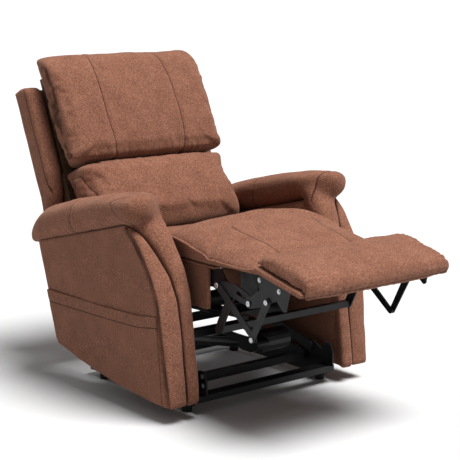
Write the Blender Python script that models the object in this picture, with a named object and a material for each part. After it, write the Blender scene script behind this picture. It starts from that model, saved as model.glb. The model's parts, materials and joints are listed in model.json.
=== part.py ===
"""Power lift recliner chair, shown with the footrest out and the back leaned back.

Metres, +Z up, the chair faces -Y and is mirrored about X = 0 except for its motors and pocket.
Places in the side view are (y, z) pairs, with y = 0 under the arms' front and z = 0 the floor.
The finished chair is moved along Y so that the origin lies under the middle of its outline.
Each moving body hangs on an empty that stands on its joint axis; every axis runs along X.
"""
import math

import bmesh
import bpy
from mathutils import Matrix, Vector

GAP = 0.0003              # kept between touching pieces
SIDES = (("left", 1), ("right", -1))

# ---- upholstery, across the chair -------------------------------------------------------------
ARM_INNER = 0.2933        # inner face of each arm
ARM_OUTER_AT_FLOOR = 0.403
ARM_SPLAY = 0.041         # outward lean of the arm's outer face, per metre of height
ARM_SEAM = 0.338          # seam between the two lobes on the arm's front
ROLL_OUTER = 0.446
BACK_HALF_WIDTH = 0.288
SEAT_HALF_WIDTH = 0.285
CHAISE_HALF_WIDTH = 0.270
FOOT_PAD_HALF_WIDTH = 0.279
FOOT_BOARD_HALF_WIDTH = 0.291
PILLOW_HALF_WIDTH = 0.322
WING_OUTER = 0.350

# ---- arms, side view ---------------------------------------------------------------------------
ARM_TOE = (0.000, 0.050)          # lower front corner
ARM_KNEE = (0.037, 0.345)         # where the straight front starts to curve back
ARM_PULL = (0.048, 0.440)         # control point of that curve
ARM_NECK = (0.177, 0.570)         # where it meets the roll
ARM_HEEL_Y = 0.604                # lower rear corner
ARM_TAIL = (0.690, 0.451)         # upper rear corner
ARM_BOTTOM_RISE = 0.211           # the lower edge climbs with y squared
NECK_SLOPE = -0.245               # of the line between arm and roll
LOBE_DEPTH = 0.014                # how far the front lobes swell
ROLL_FRONT = 0.118
ROLL_REAR = 0.738
ROLL_HEIGHT = 0.115
ROLL_SWELL = (0.44, 0.31, 0.27)   # where it is full height, how far ahead it thins, and by what share
ROLL_TAIL = 0.148                 # length of its rounded rear end
POCKET_TOP = 0.312
POCKET_THICK = 0.004

# ---- lift base ---------------------------------------------------------------------------------
BASE_TUBE = 0.040                 # height of the base's side rails and depth of its cross tubes
BASE_TUBE_THIN = 0.020
BASE_CLEAR = 0.020                # side rails above the floor
BASE_FRONT_Y = 0.020
BASE_REAR_Y = 0.555
FRONT_TUBE_LAP = 0.016            # how far the front tube runs onto the side rails
RAIL_WIDTH = 0.025
RAIL_CLEARANCE = 0.0063           # rail to the arm's inner face
RAIL_INNER = ARM_INNER - RAIL_CLEARANCE - RAIL_WIDTH
FOOT_RADIUS = 0.016
FRONT_FOOT_Y = 0.085
REAR_FOOT_Y = 0.530

# ---- pivots, side view -------------------------------------------------------------------------
LIFT_PIVOT = (0.140, 0.075)       # lift links on the base
LIFT_LINK = 0.300                 # length of a lift link
LIFT_LINK_ANGLE = 8.0             # its slope at rest, degrees
GUIDE_PIVOT = (0.112, 0.111)      # guide links on the base
GUIDE_TOP = (0.410, 0.190)        # guide links on the chair
BACK_PIVOT = (0.520, 0.440)
BACK_LEAN = 24.0                  # of the back from upright, degrees
LINK_PIVOT = (-0.065, 0.420)      # ottoman links on the chair
BRACKET_PIVOT = (-0.2157, 0.3936)  # footrest brackets on the ottoman links
CHAISE_PIVOT = (-0.082, 0.484)    # sewn hinge under the chaise pad's rear edge
KNEE = (-0.232, 0.291)            # where the two scissor legs meet
LEG_TOP = (-0.297, 0.413)         # front scissor leg on the footrest bracket
DRIVE_TOP = (-0.122, 0.409)       # drive links on the ottoman links
DRIVE_TUBE = (-0.057, 0.283)      # cross tube between the drive links
LIFT_MOTOR = (0.055, 0.171)
LIFT_ROD_END = (0.580, 0.082)
FOOT_MOTOR = (0.380, 0.270)
BACK_MOTOR = (0.300, 0.240)
BACK_LEVER = (0.545, 0.345)
FRONT_CROSS = (0.250, 0.185)      # cross tubes of the chair frame
REAR_CROSS = (0.340, 0.210)
HEAD_PIVOT_UP = 0.290             # headrest hinge, up the back from the back pivot

# ---- the mechanism's layers, which stand in the room beside the arms ----------------------------

def layer(inset, thick):
    """The |x| of a plate's inner face, `inset` in from the arm, and its thickness."""
    return (ARM_INNER - inset, thick)


LUG_LAYER = layer(0.0579, 0.005)
RECLINER_LAYER = layer(0.0525, 0.004)
FRAME_LAYER = layer(0.0482, 0.005)
LIFT_LAYER = layer(0.0429, 0.006)
PIVOT_LAYER = layer(0.0366, 0.005)
DRIVE_LAYER = layer(0.0327, 0.005)
LINK_LAYER = layer(0.0273, 0.005)
REAR_LEG_LAYER = layer(0.0219, 0.004)
BRACKET_LAYER = layer(0.0175, 0.005)
FRONT_LEG_LAYER = layer(0.0121, 0.004)

PIN_RADIUS = 0.007
PIN_CLEARANCE = 0.0003            # pin to hole, all round
LOOSE_CLEARANCE = 0.0030          # guide link pin to its hole in the lift frame
PIN_PROUD = 0.0018                # a pin's end past the outer plate
HUB = 0.0145                      # radius of a plate around a pin
CROSS_TUBE = 0.025
DRIVE_TUBE_SIZE = 0.020
PIN_SIDES = 12

# ---- seat and back -----------------------------------------------------------------------------
SEAT_RAIL = layer(0.0482, 0.0149)
SEAT_RAIL_BOTTOM = 0.330
DECK_BOTTOM = 0.462
DECK_THICK = 0.008
DECK_FRONT = -0.045
DECK_REAR = 0.425
BACK_BOARD_FRONT = -0.1053        # forward of the back pivot, square to the back's slope
BACK_BOARD_THICK = 0.0444
HEAD_BOARD_THICK = 0.015
HEAD_BOARD_INSET = 0.008          # headrest board in from the back's sides
HEAD_BOARD_TOP = 0.620
SHELL_FRONT = -0.150
SHELL_REAR = -0.190
SHELL_TOP = 0.600
SHELL_BOTTOM = -0.120
WING_BOTTOM = 0.220
WING_TOE = 0.140                  # the wing's tail behind the arm's rear end

# ---- footrest ----------------------------------------------------------------------------------
BOARD_REAR = (-0.241, 0.491)      # lower rear edge of the footrest board
BOARD_SLOPE = 12.4                # degrees, front end down
BOARD_LENGTH = 0.206
BOARD_THICK = 0.018
PAD_THICK = 0.030

ACTUATOR_TUBE = 0.016             # radius of an actuator's outer tube
ACTUATOR_ROD = 0.010
EYE_RADIUS = 0.012
EYE_WIDTH = 0.022
EAR_CLEARANCE = 0.001             # ear to rod eye
EAR_THICK = 0.005
GEARBOX_HALF = 0.022
LIFT_MOTOR_X = 0.0
FOOT_MOTOR_X = -0.100
BACK_MOTOR_X = 0.100
FOOT_ROD_END = (DRIVE_TUBE[0] + 0.028, DRIVE_TUBE[1])

BODIES = {}


def along(angle, length=1.0):
    """A step in the side view, `angle` in degrees from +Y towards +Z."""
    return Vector((math.cos(math.radians(angle)), math.sin(math.radians(angle)))) * length


CHAIR_PIVOT = tuple(Vector(LIFT_PIVOT) + along(LIFT_LINK_ANGLE, LIFT_LINK))
UP_BACK = along(90.0 - BACK_LEAN)
FRONT_OF_BACK = along(180.0 - BACK_LEAN)
BOARD_FORWARD = along(180.0 + BOARD_SLOPE)
BOARD_UP = along(90.0 + BOARD_SLOPE)


def on_back(front, up):
    """Side-view place of a point given forward of and up the leaned back, from its pivot."""
    return tuple(Vector(BACK_PIVOT) + FRONT_OF_BACK * front + UP_BACK * up)


def on_board(forward, up):
    """Side-view place of a point given along and above the footrest board's underside."""
    return tuple(Vector(BOARD_REAR) + BOARD_FORWARD * forward + BOARD_UP * up)


HEAD_PIVOT = on_back(BACK_BOARD_FRONT, HEAD_PIVOT_UP)


def arm_bottom(y):
    return ARM_TOE[1] + ARM_BOTTOM_RISE * y * y


def neck_line(y):
    return ARM_TAIL[1] + NECK_SLOPE * (y - ARM_TAIL[0])


def arm_outer(z):
    return ARM_OUTER_AT_FLOOR + ARM_SPLAY * z


# ---- scene, materials, bodies -----------------------------------------------------------------

def clear_scene():
    for obj in list(bpy.data.objects):
        bpy.data.objects.remove(obj, do_unlink=True)


def material(name, colour, roughness, metallic=0.0):
    mat = bpy.data.materials.new(name)
    mat.use_nodes = True
    shader = mat.node_tree.nodes["Principled BSDF"]
    shader.inputs["Base Color"].default_value = (*colour, 1.0)
    shader.inputs["Roughness"].default_value = roughness
    shader.inputs["Metallic"].default_value = metallic
    return mat


def add_body(name, pivot, parent=None, x=0.0):
    """An empty on a body's joint axis; `pivot` is its side-view place at rest."""
    place = Vector((x, pivot[0], pivot[1]))
    empty = bpy.data.objects.new(name + "_axis", None)
    bpy.context.collection.objects.link(empty)
    if parent:
        empty.parent = BODIES[parent][0]
        empty.location = place - BODIES[parent][1]
    else:
        empty.location = place
    BODIES[name] = (empty, place)


def add_piece(name, body, bm, mat, smooth=False):
    """Turn a bmesh in chair coordinates into the named object on its body."""
    bmesh.ops.recalc_face_normals(bm, faces=bm.faces)
    bmesh.ops.translate(bm, verts=bm.verts, vec=-BODIES[body][1])
    mesh = bpy.data.meshes.new(name)
    bm.to_mesh(mesh)
    bm.free()
    mesh.materials.append(mat)
    if smooth:
        mesh.shade_smooth()
        mesh.set_sharp_from_angle(angle=math.radians(42))
    obj = bpy.data.objects.new(name, mesh)
    obj.parent = BODIES[body][0]
    bpy.context.collection.objects.link(obj)
    return obj


# ---- outlines in the side view ----------------------------------------------------------------

def circle(centre, radius, sides=PIN_SIDES):
    turn = 2 * math.pi / sides
    return [(centre[0] + radius * math.cos(turn * i), centre[1] + radius * math.sin(turn * i))
            for i in range(sides)]


def pin_hole(centre, clearance=PIN_CLEARANCE):
    """A hole that clears a pin at any turn of their flats."""
    return circle(centre, (PIN_RADIUS + clearance) / math.cos(math.pi / PIN_SIDES))


def hull(discs, sides=16):
    """Outline of the tight band around some discs, each (y, z, radius)."""
    points = sorted({p for y, z, r in discs for p in circle((y, z), r, sides)})

    def half(run):
        chain = []
        for p in run:
            while len(chain) > 1:
                (ay, az), (by, bz) = chain[-2], chain[-1]
                if (by - ay) * (p[1] - az) - (bz - az) * (p[0] - ay) > 1e-12:
                    break
                chain.pop()
            chain.append(p)
        return chain[:-1]

    return half(points) + half(points[::-1])


def arc(centre, radius, first, last, steps=4):
    """Points on a circle from one angle to another, in degrees from +Y towards +Z."""
    return [tuple(Vector(centre) + along(first + (last - first) * i / steps, radius))
            for i in range(steps + 1)]


def disc(centre, radius):
    return (centre[0], centre[1], radius)


def bezier(start, pull, end, count):
    """Points after `start` along a quadratic curve."""
    run = []
    for i in range(1, count + 1):
        t = i / count
        run.append(tuple(Vector(start) * (1 - t) ** 2 + Vector(pull) * 2 * t * (1 - t)
                         + Vector(end) * t * t))
    return run


# ---- solids -----------------------------------------------------------------------------------

def ring(bm, points):
    verts = [bm.verts.new(p) for p in points]
    edges = [bm.edges.new((a, b)) for a, b in zip(verts, verts[1:] + verts[:1])]
    return verts, edges


def plate(outline, layer, side, holes=(), studs=()):
    """A flat plate on one side of the chair.

    layer: |x| of its inner face, and thickness. holes: closed outlines in the side view.
    studs: (centre, |x| of each end), inward or outward of the plate.
    """
    inner, thick = layer
    bm = bmesh.new()
    edges = ring(bm, [(side * inner, y, z) for y, z in outline])[1]
    for hole in holes:
        edges += ring(bm, [(side * inner, y, z) for y, z in hole])[1]
    discs = []
    for centre, *_ in studs:
        points = [(side * inner, y, z) for y, z in circle(centre, PIN_RADIUS)]
        verts, disc_edges = ring(bm, points)
        edges += disc_edges
        discs.append(verts)
    bmesh.ops.triangle_fill(bm, use_beauty=True, edges=edges)
    for verts in discs:
        bm.faces.new(verts)
    out = bmesh.ops.extrude_face_region(bm, geom=bm.faces[:], use_keep_orig=True)
    for vert in (v for v in out["geom"] if isinstance(v, bmesh.types.BMVert)):
        vert.co.x = side * (inner + thick)
    for centre, *ends in studs:
        for end in ends:
            root = side * (inner if end < inner else inner + thick)
            raise_stud(bm, Vector((root, *centre)), side * end)
    return bm


def raise_stud(bm, root, end_x):
    """Pull the round face centred on `root` out to x = end_x."""
    for face in bm.faces:
        middle = face.calc_center_median()
        if len(face.verts) == PIN_SIDES and (middle - root).length < 1e-5:
            out = bmesh.ops.extrude_discrete_faces(bm, faces=[face])
            for vert in out["faces"][0].verts:
                vert.co.x = end_x
            return
    raise ValueError("no round face for a stud")


def box(low, high, edge=0.0):
    bm = bmesh.new()
    size = Vector(high) - Vector(low)
    middle = (Vector(high) + Vector(low)) / 2
    place = Matrix.Translation(middle) @ Matrix.Diagonal((*size, 1.0))
    bmesh.ops.create_cube(bm, size=1.0, matrix=place)
    if edge:
        bmesh.ops.bevel(bm, geom=bm.edges[:], offset=edge, segments=1, affect="EDGES")
    return bm


def cross_tube(centre, size, half_length):
    """A square tube across the chair."""
    y, z = centre
    return box((-half_length, y - size / 2, z - size / 2), (half_length, y + size / 2, z + size / 2))


def cylinder(radius, low, high, axis="Z", sides=16):
    """A closed cylinder along one axis, between two points that differ on that axis only."""
    bm = bmesh.new()
    low, high = Vector(low), Vector(high)
    turn = {"X": Matrix.Rotation(math.pi / 2, 4, "Y"), "Y": Matrix.Rotation(math.pi / 2, 4, "X"),
            "Z": Matrix.Identity(4)}[axis]
    bmesh.ops.create_cone(bm, cap_ends=True, segments=sides, radius1=radius, radius2=radius,
                          depth=(high - low).length,
                          matrix=Matrix.Translation((low + high) / 2) @ turn)
    return bm


def combine(base, others, operation="UNION"):
    """Boolean of some bmeshes, as one new bmesh."""
    holder = bpy.data.objects.new("holder", bpy.data.meshes.new("holder"))
    base.to_mesh(holder.data)
    base.free()
    bpy.context.collection.objects.link(holder)
    cutters = []
    for i, other in enumerate(others):
        bmesh.ops.recalc_face_normals(other, faces=other.faces)
        cutter = bpy.data.objects.new("cutter", bpy.data.meshes.new("cutter"))
        other.to_mesh(cutter.data)
        other.free()
        bpy.context.collection.objects.link(cutter)
        cutter.hide_render = True
        cutter.display_type = "WIRE"
        step = holder.modifiers.new("step%d" % i, "BOOLEAN")
        step.operation = operation
        step.object = cutter
        step.solver = "EXACT"
        cutters.append(cutter)
    bpy.context.view_layer.update()
    done = bmesh.new()
    done.from_object(holder, bpy.context.evaluated_depsgraph_get())
    for obj in cutters + [holder]:
        bpy.data.objects.remove(obj, do_unlink=True)
    return done


def loft(rings):
    """A closed skin through rings of equal point counts, with flat ends."""
    bm = bmesh.new()
    verts, edges = ring(bm, rings[0])
    bm.faces.new(verts)
    for points in rings[1:]:
        out = bmesh.ops.extrude_edge_only(bm, edges=edges)["geom"]
        fresh = {part for part in out if isinstance(part, bmesh.types.BMVert)}
        edges = [part for part in out if isinstance(part, bmesh.types.BMEdge)
                 and part.verts[0] in fresh and part.verts[1] in fresh]
        steps = [next(edge.other_vert(vert) for edge in vert.link_edges
                      if edge.other_vert(vert) in fresh) for vert in verts]
        for vert, point in zip(steps, points):
            vert.co = point
        verts = steps
    bm.faces.new(verts)
    return bm


def outward(profile):
    """Unit normals, pointing out, of a closed side-view profile."""
    area = sum(a[0] * b[1] - b[0] * a[1] for a, b in zip(profile, profile[1:] + profile[:1]))
    sign = 1 if area > 0 else -1
    normals = []
    for i in range(len(profile)):
        run = Vector(profile[(i + 1) % len(profile)]) - Vector(profile[i - 1])
        normals.append(Vector((run.y, -run.x)).normalized() * sign)
    return normals


def cushion(profile, half_width, edge, crown, seams=(), seam_depth=0.006, width_at=None):
    """A padded solid: a side-view profile run across the chair.

    profile: (y, z, softness); softness 0 keeps a point flat, 1 lets it crown and take seams.
    edge: radius of the drawn-in sides. crown: swell at mid-width. seams: |x| of sewn channels.
    width_at: optional scale of the width for each profile point.
    """
    flat = [(y, z) for y, z, _ in profile]
    normals = outward(flat)
    inner = half_width - edge
    stations = {0.0, inner * 0.35, inner * 0.7, inner, inner + edge * 0.45, inner + edge * 0.8,
                half_width}
    for seam in seams:
        stations |= {seam - 0.022, seam - 0.007, seam, seam + 0.007, seam + 0.022}
    half = sorted(stations)
    rings = []
    for x in [-s for s in reversed(half) if s] + half:
        past = max(0.0, abs(x) - inner) / edge
        draw = edge * (1 - math.sqrt(max(0.0, 1 - past * past)))
        swell = crown * (1 - (x / half_width) ** 2)
        groove = sum(seam_depth * math.exp(-((abs(x) - seam) / 0.010) ** 2) for seam in seams)
        points = []
        for i, (y, z, soft) in enumerate(profile):
            move = normals[i] * (soft * (swell - groove) - draw * 0.85)
            wide = width_at[i] if width_at else 1.0
            points.append((x * wide, y + move.x, z + move.y))
        rings.append(points)
    return loft(rings)


def ears(pivot, roots, x):
    """Two ear plates, one each side of a rod eye at x; `roots` are discs inside their carrier."""
    outline = hull([disc(pivot, EYE_RADIUS), *roots], 12)
    near = EYE_WIDTH / 2 + EAR_CLEARANCE
    return [plate(outline, (x + near, EAR_THICK), 1),
            plate(outline, (x - near - EAR_THICK, EAR_THICK), 1)]


# ---- lift base --------------------------------------------------------------------------------

def pivot_plate(side):
    """Upright plate inside a base rail, with the holes for the lift link and the guide link."""
    rail_top = BASE_CLEAR + BASE_TUBE + GAP
    rail_front = BASE_FRONT_Y + BASE_TUBE + GAP
    low = BASE_CLEAR + 0.008
    tower_front, tower_rear, tower_top = 0.005, 0.042, 0.135
    outline = [(rail_front, low), (LIFT_PIVOT[0] + 0.060, low),
               *arc(LIFT_PIVOT, 0.024, 20, 50), *arc(GUIDE_PIVOT, 0.021, 20, 120),
               (tower_rear + 0.018, tower_top - 0.024), (tower_rear, tower_top),
               (tower_front + 0.013, tower_top), (tower_front, tower_top - 0.030),
               (tower_front, rail_top), (rail_front, rail_top)]
    return plate(outline, PIVOT_LAYER, side, holes=(pin_hole(LIFT_PIVOT), pin_hole(GUIDE_PIVOT)))


def build_base(steel, rubber):
    top = BASE_CLEAR + BASE_TUBE
    front_half = RAIL_INNER + FRONT_TUBE_LAP
    front = box((-front_half, BASE_FRONT_Y, top - BASE_TUBE_THIN),
                (front_half, BASE_FRONT_Y + BASE_TUBE, top))
    add_piece("base_front_tube", "base", front, steel)
    rear_half = RAIL_INNER + RAIL_WIDTH
    rear = box((-rear_half, BASE_REAR_Y, BASE_CLEAR), (rear_half, BASE_REAR_Y + BASE_TUBE, top))
    ear_roots = [(LIFT_ROD_END[0] + step, top - 0.010, 0.005) for step in (-0.015, 0.008)]
    rear = combine(rear, ears(LIFT_ROD_END, ear_roots, 0.0))
    add_piece("base_rear_tube", "base", rear, steel)
    for side_name, side in SIDES:
        inner, outer = sorted((side * RAIL_INNER, side * (RAIL_INNER + RAIL_WIDTH)))
        rail = box((inner, BASE_FRONT_Y + BASE_TUBE + GAP, BASE_CLEAR), (outer, BASE_REAR_Y - GAP, top))
        add_piece("base_rail_" + side_name, "base", rail, steel)
        add_piece("pivot_plate_" + side_name, "base", pivot_plate(side), steel)
        middle = side * (RAIL_INNER + RAIL_WIDTH / 2)
        for place, y in (("front", FRONT_FOOT_Y), ("rear", REAR_FOOT_Y)):
            foot = cylinder(FOOT_RADIUS, (middle, y, 0.0), (middle, y, BASE_CLEAR - GAP))
            add_piece("foot_%s_%s" % (place, side_name), "base", foot, rubber, smooth=True)


def build_lift(steel):
    """The links that carry the chair up and forward, and the tube that ties them."""
    tube = cross_tube(LIFT_PIVOT, CROSS_TUBE, LIFT_LAYER[0] - GAP)
    add_piece("lift_torque_tube", "lift", tube, steel)
    outer_end = sum(PIVOT_LAYER) + PIN_PROUD
    inner_end = FRAME_LAYER[0] - PIN_PROUD
    for side_name, side in SIDES:
        outline = hull([disc(LIFT_PIVOT, 0.0175), disc(CHAIR_PIVOT, 0.0175)])
        link = plate(outline, LIFT_LAYER, side,
                     studs=((LIFT_PIVOT, outer_end), (CHAIR_PIVOT, inner_end)))
        add_piece("lift_link_" + side_name, "lift", link, steel)
        outline = hull([disc(GUIDE_PIVOT, HUB), disc(GUIDE_TOP, HUB)])
        link = plate(outline, LIFT_LAYER, side,
                     studs=((GUIDE_PIVOT, outer_end), (GUIDE_TOP, FRAME_LAYER[0] + GAP)))
        add_piece("guide_link_" + side_name, "guide", link, steel)


# ---- chair frame ------------------------------------------------------------------------------

def recliner_plate(side):
    """Side plate of the mechanism, from the ottoman pivot back to the back hinge."""
    top = DECK_BOTTOM - GAP
    rail_top = DECK_BOTTOM - 0.007
    outline = [*arc(LINK_PIVOT, HUB, 270, 100),
               (DECK_FRONT, top), (DECK_REAR, top), (DECK_REAR + 0.02, rail_top),
               *arc(BACK_PIVOT, HUB, 90, -60),
               (BACK_PIVOT[0] - 0.065, 0.360), (BACK_PIVOT[0] - 0.075, 0.250),
               (REAR_CROSS[0] + 0.020, 0.250), (REAR_CROSS[0] - 0.010, 0.330),
               (FRONT_CROSS[0] - 0.030, 0.385), (0.020, 0.398)]
    return plate(outline, RECLINER_LAYER, side, holes=(pin_hole(LINK_PIVOT),),
                 studs=((BACK_PIVOT, LUG_LAYER[0] - PIN_PROUD),))


def motor_bracket(cross, pivot, x, side):
    """One plate from a cross tube to an actuator's tail, with the pin that the tail turns on."""
    inner = GEARBOX_HALF + GAP
    outline = hull([disc(pivot, EYE_RADIUS), disc(cross, CROSS_TUBE * 0.4)])
    bm = plate(outline, (inner, EAR_THICK), side, studs=((pivot, -GEARBOX_HALF - PIN_PROUD),))
    bmesh.ops.translate(bm, verts=bm.verts, vec=(x, 0.0, 0.0))
    return bm


def build_frame(steel, fabric, board, plastic):
    half = FRAME_LAYER[0] - GAP
    front = cross_tube(FRONT_CROSS, CROSS_TUBE, half)
    front = combine(front, [motor_bracket(FRONT_CROSS, LIFT_MOTOR, LIFT_MOTOR_X, -1)])
    add_piece("frame_front_tube", "chair", front, steel)
    rear = cross_tube(REAR_CROSS, CROSS_TUBE, half)
    rear = combine(rear, [motor_bracket(REAR_CROSS, FOOT_MOTOR, FOOT_MOTOR_X, -1),
                          motor_bracket(REAR_CROSS, BACK_MOTOR, BACK_MOTOR_X, 1)])
    add_piece("frame_rear_tube", "chair", rear, steel)
    frame_top = SEAT_RAIL_BOTTOM - GAP - 0.010
    for side_name, side in SIDES:
        outline = hull([disc(CHAIR_PIVOT, 0.020), disc(GUIDE_TOP, 0.020), disc(FRONT_CROSS, 0.020),
                        (0.300, frame_top, 0.010), (CHAIR_PIVOT[0] + 0.010, frame_top, 0.010)])
        frame = plate(outline, FRAME_LAYER, side,
                      holes=(pin_hole(CHAIR_PIVOT), pin_hole(GUIDE_TOP, LOOSE_CLEARANCE)))
        add_piece("lift_frame_" + side_name, "chair", frame, steel)
        add_piece("recliner_plate_" + side_name, "chair", recliner_plate(side), steel)
        add_piece("seat_rail_" + side_name, "chair", seat_rail(side), fabric)
    edge = ARM_INNER - 2 * GAP
    deck = box((-edge, DECK_FRONT, DECK_BOTTOM), (edge, DECK_REAR, DECK_BOTTOM + DECK_THICK))
    add_piece("seat_deck", "chair", deck, board)
    control = box((-0.050, 0.200, DECK_BOTTOM - GAP - 0.045), (0.050, 0.320, DECK_BOTTOM - GAP),
                  edge=0.004)
    add_piece("control_box", "chair", control, plastic)


def seat_rail(side):
    """Fabric-covered side rail of the seat box, with the block that the arm bolts to."""
    top = DECK_BOTTOM - GAP
    rail = plate([(0.0, SEAT_RAIL_BOTTOM), (0.0, top), (DECK_REAR + 0.010, top),
                  (0.530, 0.405), (0.530, SEAT_RAIL_BOTTOM)], SEAT_RAIL, side)
    outer = sum(SEAT_RAIL)
    block = plate([(0.180, 0.400), (0.180, 0.455), (0.420, 0.455), (0.420, 0.400)],
                  (outer - 0.005, ARM_INNER - 2 * GAP - outer + 0.005), side)
    return combine(rail, [block])


# ---- arms -------------------------------------------------------------------------------------

def arm_front():
    """The arm's front edge from toe to neck, as side-view points."""
    straight = [tuple(Vector(ARM_TOE).lerp(Vector(ARM_KNEE), t)) for t in (0, 0.35, 0.7, 1.0)]
    return straight + bezier(ARM_KNEE, ARM_PULL, ARM_NECK, 6)


def lobe(share):
    """Forward swell of the arm's front, by the share of the way from its inner to outer face."""
    seam = (ARM_SEAM - ARM_INNER) / (arm_outer(ARM_TOE[1]) - ARM_INNER)
    place = share / seam if share < seam else (share - seam) / (1 - seam)
    return LOBE_DEPTH * (math.sqrt(max(0.0, 1 - (2 * place - 1) ** 2)) - 0.45)


def arm_body(side):
    front = arm_front()
    rest = [(ARM_NECK[0] + 0.004, neck_line(ARM_NECK[0] + 0.004) - GAP),
            (ARM_TAIL[0], ARM_TAIL[1] - GAP), (ARM_HEEL_Y, arm_bottom(ARM_HEEL_Y)),
            *[(y, arm_bottom(y)) for y in (0.48, 0.36, 0.24, 0.12)]]
    flat = front + rest
    normals = outward(flat)
    seam = (ARM_SEAM - ARM_INNER) / (arm_outer(ARM_TOE[1]) - ARM_INNER)
    shares = [seam * t for t in (0, 0.12, 0.5, 0.88, 1)]
    shares += [seam + (1 - seam) * t for t in (0.08, 0.5, 0.92, 1)]
    rings = []
    for share in shares:
        points = []
        for i, (y, z) in enumerate(flat):
            swell = normals[i] * (lobe(share) if i < len(front) else 0.0)
            x = ARM_INNER + share * (arm_outer(z) - ARM_INNER)
            points.append((side * x, y + swell.x, z + swell.y))
        rings.append(points)
    return loft(rings)


def arm_roll(side):
    """The padded roll on top of an arm."""
    middle = (ARM_INNER + ROLL_OUTER) / 2
    full = (ROLL_OUTER - ARM_INNER) / 2
    full_y, thin_run, thin_share = ROLL_SWELL
    stations = [(0.0, 0.013), (0.003, 0.006), (0.011, 0.001), (0.027, 0.0), (0.075, 0.0),
                (0.145, 0.0), (0.225, 0.0), (0.32, 0.0), (0.41, 0.0), (0.48, 0.0), (0.53, 0.0),
                (0.57, 0.0), (0.597, 0.0), (0.612, 0.0), (0.6185, 0.0)]
    rings = []
    for step, inset in stations:
        y = ROLL_FRONT + step
        front = 1 - thin_share * (max(0.0, full_y - y) / thin_run) ** 2
        past = max(0.0, y - (ROLL_REAR - ROLL_TAIL)) / ROLL_TAIL
        tail = math.sqrt(max(0.0, 1 - past * past))
        half_z = ROLL_HEIGHT * front * tail / 2 - inset
        half_x = full * (0.6 + 0.4 * tail) - inset
        level = neck_line(y) + ROLL_HEIGHT * front * tail / 2
        points = []
        for i in range(16):
            turn = 2 * math.pi * i / 16
            c, s = math.cos(turn), math.sin(turn)
            points.append((side * (middle + half_x * math.copysign(abs(c) ** 0.7, c)), y,
                           level + half_z * math.copysign(abs(s) ** 0.7, s)))
        rings.append(points)
    return loft(rings)


def side_pocket(side):
    """The flat pocket sewn to an arm's outer face."""
    outline = [(0.045, POCKET_TOP + 0.012), (0.140, POCKET_TOP), (0.300, POCKET_TOP - 0.005),
               (0.643, POCKET_TOP - 0.009), (0.601, 0.142),
               *[(y, arm_bottom(y) + 0.006) for y in (0.48, 0.36, 0.24, 0.12, 0.032)]]
    bm = plate(outline, (0.0, POCKET_THICK), 1)
    for vert in bm.verts:
        vert.co.x = side * (arm_outer(vert.co.z) + GAP + vert.co.x)
    return bm


def build_arms(fabric):
    for side_name, side in SIDES:
        add_piece("arm_" + side_name, "chair", arm_body(side), fabric, smooth=True)
        add_piece("arm_roll_" + side_name, "chair", arm_roll(side), fabric, smooth=True)
    add_piece("side_pocket", "chair", side_pocket(-1), fabric)


# ---- seat and chaise pad ----------------------------------------------------------------------

def build_seat(fabric):
    deck = DECK_BOTTOM + DECK_THICK + GAP
    join = CHAISE_PIVOT[0] + 0.0035
    profile = [(0.430, deck, 0), (0.200, deck, 0), (-0.042, deck, 0), (-0.064, 0.478, 0),
               (join, 0.500, 0), (join + 0.004, 0.535, 0.1), (-0.048, 0.560, 0.5),
               (0.000, 0.574, 1), (0.060, 0.580, 1), (0.120, 0.578, 1), (0.200, 0.560, 1),
               (0.290, 0.533, 1), (0.370, 0.513, 1), (0.418, 0.502, 0.5), (0.430, 0.490, 0)]
    seat = cushion(profile, SEAT_HALF_WIDTH, 0.018, 0.010)
    add_piece("seat_cushion", "chair", seat, fabric, smooth=True)
    rear = join - GAP
    profile = [(rear, 0.500, 0), (rear, 0.482, 0), (-0.150, 0.471, 0), (-0.205, 0.469, 0),
               (-0.225, 0.479, 0), (-0.231, 0.497, 0), (-0.223, 0.515, 0.3), (-0.195, 0.529, 0.8),
               (-0.155, 0.537, 1), (-0.120, 0.542, 1), (-0.095, 0.540, 0.7), (rear - 0.003, 0.530, 0.1)]
    chaise = cushion(profile, CHAISE_HALF_WIDTH, 0.016, 0.008, seams=(0.130,))
    add_piece("chaise_pad", "chaise", chaise, fabric, smooth=True)


# ---- back and headrest ------------------------------------------------------------------------

def across(outline, half_width):
    return plate(outline, (-half_width, 2 * half_width), 1)


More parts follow.
